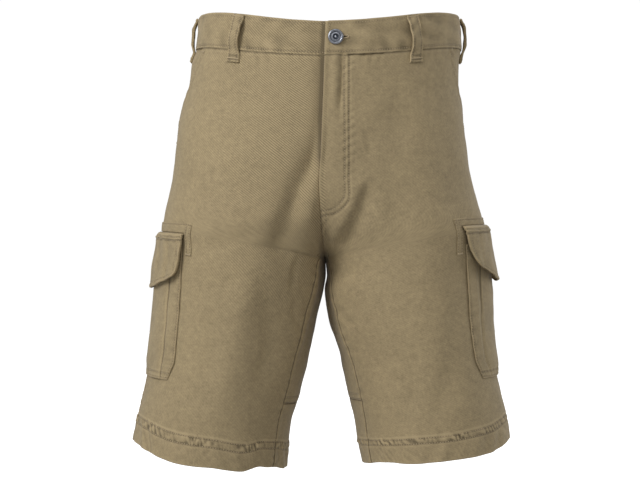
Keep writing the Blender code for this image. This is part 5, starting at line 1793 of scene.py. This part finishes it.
def twill_finish(name, colour, rib, amount):
    finish = Finish(name, 0.86, Sheen_Weight=0.12, Sheen_Roughness=0.45)
    uv, across, up = finish.cloth_place()
    solid = finish.solid()
    drift = finish.noise(uv, 32.0, 0.0)
    ribs = ((across * 0.60 + up * 0.80) * (1.0 / rib) + drift * 1.3).wave()
    clear = finish.point_value("ribs")
    yarn = finish.noise(uv, 1500.0, 2.0, 0.6)
    fleck = finish.noise(uv, 420.0, 2.0, 0.6)
    mottle = finish.noise(uv, 150.0, 2.0, 0.5)
    stretched = finish.node("ShaderNodeMapping", {}, Vector=uv, Scale=(1.0, 5.0, 1.0)).outputs[0]
    slub = finish.noise(stretched, 190.0, 3.0, 0.6)
    cloud = finish.noise(solid, 17.0, 3.0, 0.55)
    patch = finish.noise(solid, 70.0, 2.0, 0.5)
    wear = finish.point_value("wear")
    shares = {yarn: 0.50, slub: 0.30, cloud: 0.34, patch: 0.30, fleck: 1.05, mottle: 0.70}
    first, *others = [noise * share for noise, share in shares.items()]
    shade = sum(others, first) - sum(shares.values()) * 0.5
    shade = shade + (ribs - 0.5) * clear * (mottle * 1.6 + 0.2) * amount + 0.5
    tone = finish.mix(shade.limited(), scaled(colour, 0.70), scaled(colour, 1.30))
    pale = (min(1.0, colour[0] * 1.34), colour[1] * 1.34, colour[2] * 1.38)
    # Paler towards a light copy of the colour where the cloth is worn and where highlights are
    # painted
    tone = finish.mix((wear * 0.75).limited(0.0, 0.7), tone, pale)
    # Darker towards a dim copy of the colour where shade is painted: grooves, dents, seams and
    # under edges
    tone = finish.mix((wear * -0.85).limited(0.0, 0.9), tone, scaled(colour, 0.45))
    finish.feed("Base Color", tone)
    finish.feed("Roughness", (yarn * 0.12 + 0.80).limited())
    finish.raised(ribs * clear * 0.9 + yarn * 0.7 + fleck * 0.5, 0.45, 0.0003)
    return finish.material


def plain_weave_finish(name, colour):
    finish = Finish(name, 0.9, Sheen_Weight=0.08)
    uv, across, up = finish.cloth_place()
    weave = (across * 0.9).wave() * (up * 0.9).wave()
    yarn = finish.noise(uv, 1300.0, 2.0)
    cloud = finish.noise(uv, 35.0, 2.0)
    wear = finish.point_value("wear")
    # Point values darken it along sewn lines as painted shade
    shade = (weave * 0.35 + yarn * 0.35 + cloud * 0.4 + wear * 0.5 - 0.05).limited()
    finish.feed("Base Color", finish.mix(shade, scaled(colour, 0.72), scaled(colour, 1.25)))
    finish.raised(weave + yarn * 0.5, 0.4, 0.0003)
    return finish.material


def thread_finish(name, colour):
    finish = Finish(name, 0.6, Sheen_Weight=0.1)
    solid = finish.solid()
    fleck = finish.noise(solid, 900.0, 2.0)
    broad = finish.noise(solid, 45.0, 2.0)
    shade = (fleck * 0.6 + broad * 0.5 - 0.05).limited()
    finish.feed("Base Color", finish.mix(shade, scaled(colour, 0.75), scaled(colour, 1.2)))
    finish.raised(fleck, 0.3, 0.0002)
    return finish.material


def metal_finish(name, colour, dark, roughness):
    finish = Finish(name, roughness, 1.0)
    solid = finish.solid()
    scratch = finish.noise(solid, 1800.0, 3.0, 0.6)
    stain = finish.noise(solid, 320.0, 3.0, 0.6)
    wear = finish.point_value("wear")
    # Point values darken the button's recesses as painted shade and make its crests paler
    shade = (scratch * 0.5 + stain * 0.7 - 0.1 + wear * 0.4).limited()
    finish.feed("Base Color", finish.mix(shade, dark, colour))
    finish.feed("Roughness", (scratch * 0.25 + (roughness - 0.12)).limited(0.05, 1.0))
    finish.raised(scratch, 0.15, 0.0001)
    return finish.material


# ---------------------------------------------------------------- studio

def add_area_light(name, place, target, size, power):
    data = bpy.data.lights.new(name, "AREA")
    data.shape = "RECTANGLE"
    data.size, data.size_y = size
    data.energy = power
    light = bpy.data.objects.new(name, data)
    light.location = place
    light.rotation_euler = (Vector(target) - Vector(place)).to_track_quat("-Z", "Y").to_euler()
    bpy.context.scene.collection.objects.link(light)


def add_world(scene):
    """White where the camera sees it, and a dimmer fill of light."""
    scene.world = bpy.data.worlds.new("studio")
    scene.world.use_nodes = True
    tree = scene.world.node_tree
    seen, fill = tree.nodes["Background"], tree.nodes.new("ShaderNodeBackground")
    for background, strength in ((seen, WORLD_SEEN), (fill, WORLD_FILL)):
        background.inputs["Color"].default_value = (1, 1, 1, 1)
        background.inputs["Strength"].default_value = strength
    ray, mix = tree.nodes.new("ShaderNodeLightPath"), tree.nodes.new("ShaderNodeMixShader")
    tree.links.new(ray.outputs["Is Camera Ray"], mix.inputs[0])
    tree.links.new(fill.outputs[0], mix.inputs[1])
    tree.links.new(seen.outputs[0], mix.inputs[2])
    tree.links.new(mix.outputs[0], tree.nodes["World Output"].inputs["Surface"])


def add_floor():
    bpy.ops.object.select_all(action="DESELECT")
    bpy.ops.mesh.primitive_grid_add(
        x_subdivisions=12, y_subdivisions=12, size=9.0, location=(0, 1.0, FLOOR)
    )
    floor = bpy.context.object
    floor.name = "floor"
    pale = Finish("pale floor", 0.7)
    cloud = pale.noise(pale.solid(), 3.0)
    pale.feed("Base Color", pale.mix(cloud, (0.49, 0.49, 0.49), (0.51, 0.51, 0.51)))
    seen = pale.node("ShaderNodeLightPath", {}).outputs["Is Camera Ray"]
    pale.feed("Emission Color", pale.mix(seen, (0.0, 0.0, 0.0), (1.0, 1.0, 1.0)))
    pale.shader.inputs["Emission Strength"].default_value = FLOOR_GLOW
    floor.data.materials.append(pale.material)


def add_studio():
    scene = bpy.context.scene
    scene.view_settings.view_transform = "Standard"
    camera = bpy.data.objects.new("camera", bpy.data.cameras.new("camera"))
    camera.data.lens = CAMERA_LENS
    camera.location = CAMERA_PLACE
    camera.rotation_euler = (math.pi / 2, 0.0, 0.0)
    scene.collection.objects.link(camera)
    scene.camera = camera
    for light in LIGHTS:
        add_area_light(*light)
    add_world(scene)
    add_floor()


# ---------------------------------------------------------------- the shorts

twill = twill_finish("khaki twill", TWILL_COLOUR, TWILL_RIB, TWILL_AMOUNT)
pocketing = plain_weave_finish("pocketing cloth", (0.330, 0.280, 0.200))
tape_cloth = plain_weave_finish("zip tape cloth", (0.235, 0.180, 0.110))
thread = thread_finish("khaki thread", THREAD_COLOUR)
zip_metal = metal_finish("zip brass", (0.62, 0.50, 0.28), (0.36, 0.27, 0.14), 0.38)
button_metal = metal_finish("button metal", (0.50, 0.52, 0.57), (0.07, 0.08, 0.10), 0.34)

charts = {side: Chart(side) for side in (RIGHT, LEFT)}
sheets = [*add_panels(charts), add_waistband(charts), *add_belt_loops(charts), *add_fly(charts)]
add_button(charts)
facings, bags = zip(*[(add_facing(chart), add_pocket_bag(chart)) for chart in charts.values()])
sheets += [*facings, *bags]
sheets += [
    add_piece(chart) for chart in charts.values()
    for add_piece in (add_cargo_pocket, add_cargo_flap, add_flap_stay)
]
add_panel_stitches(charts)
add_thread()

add_studio()
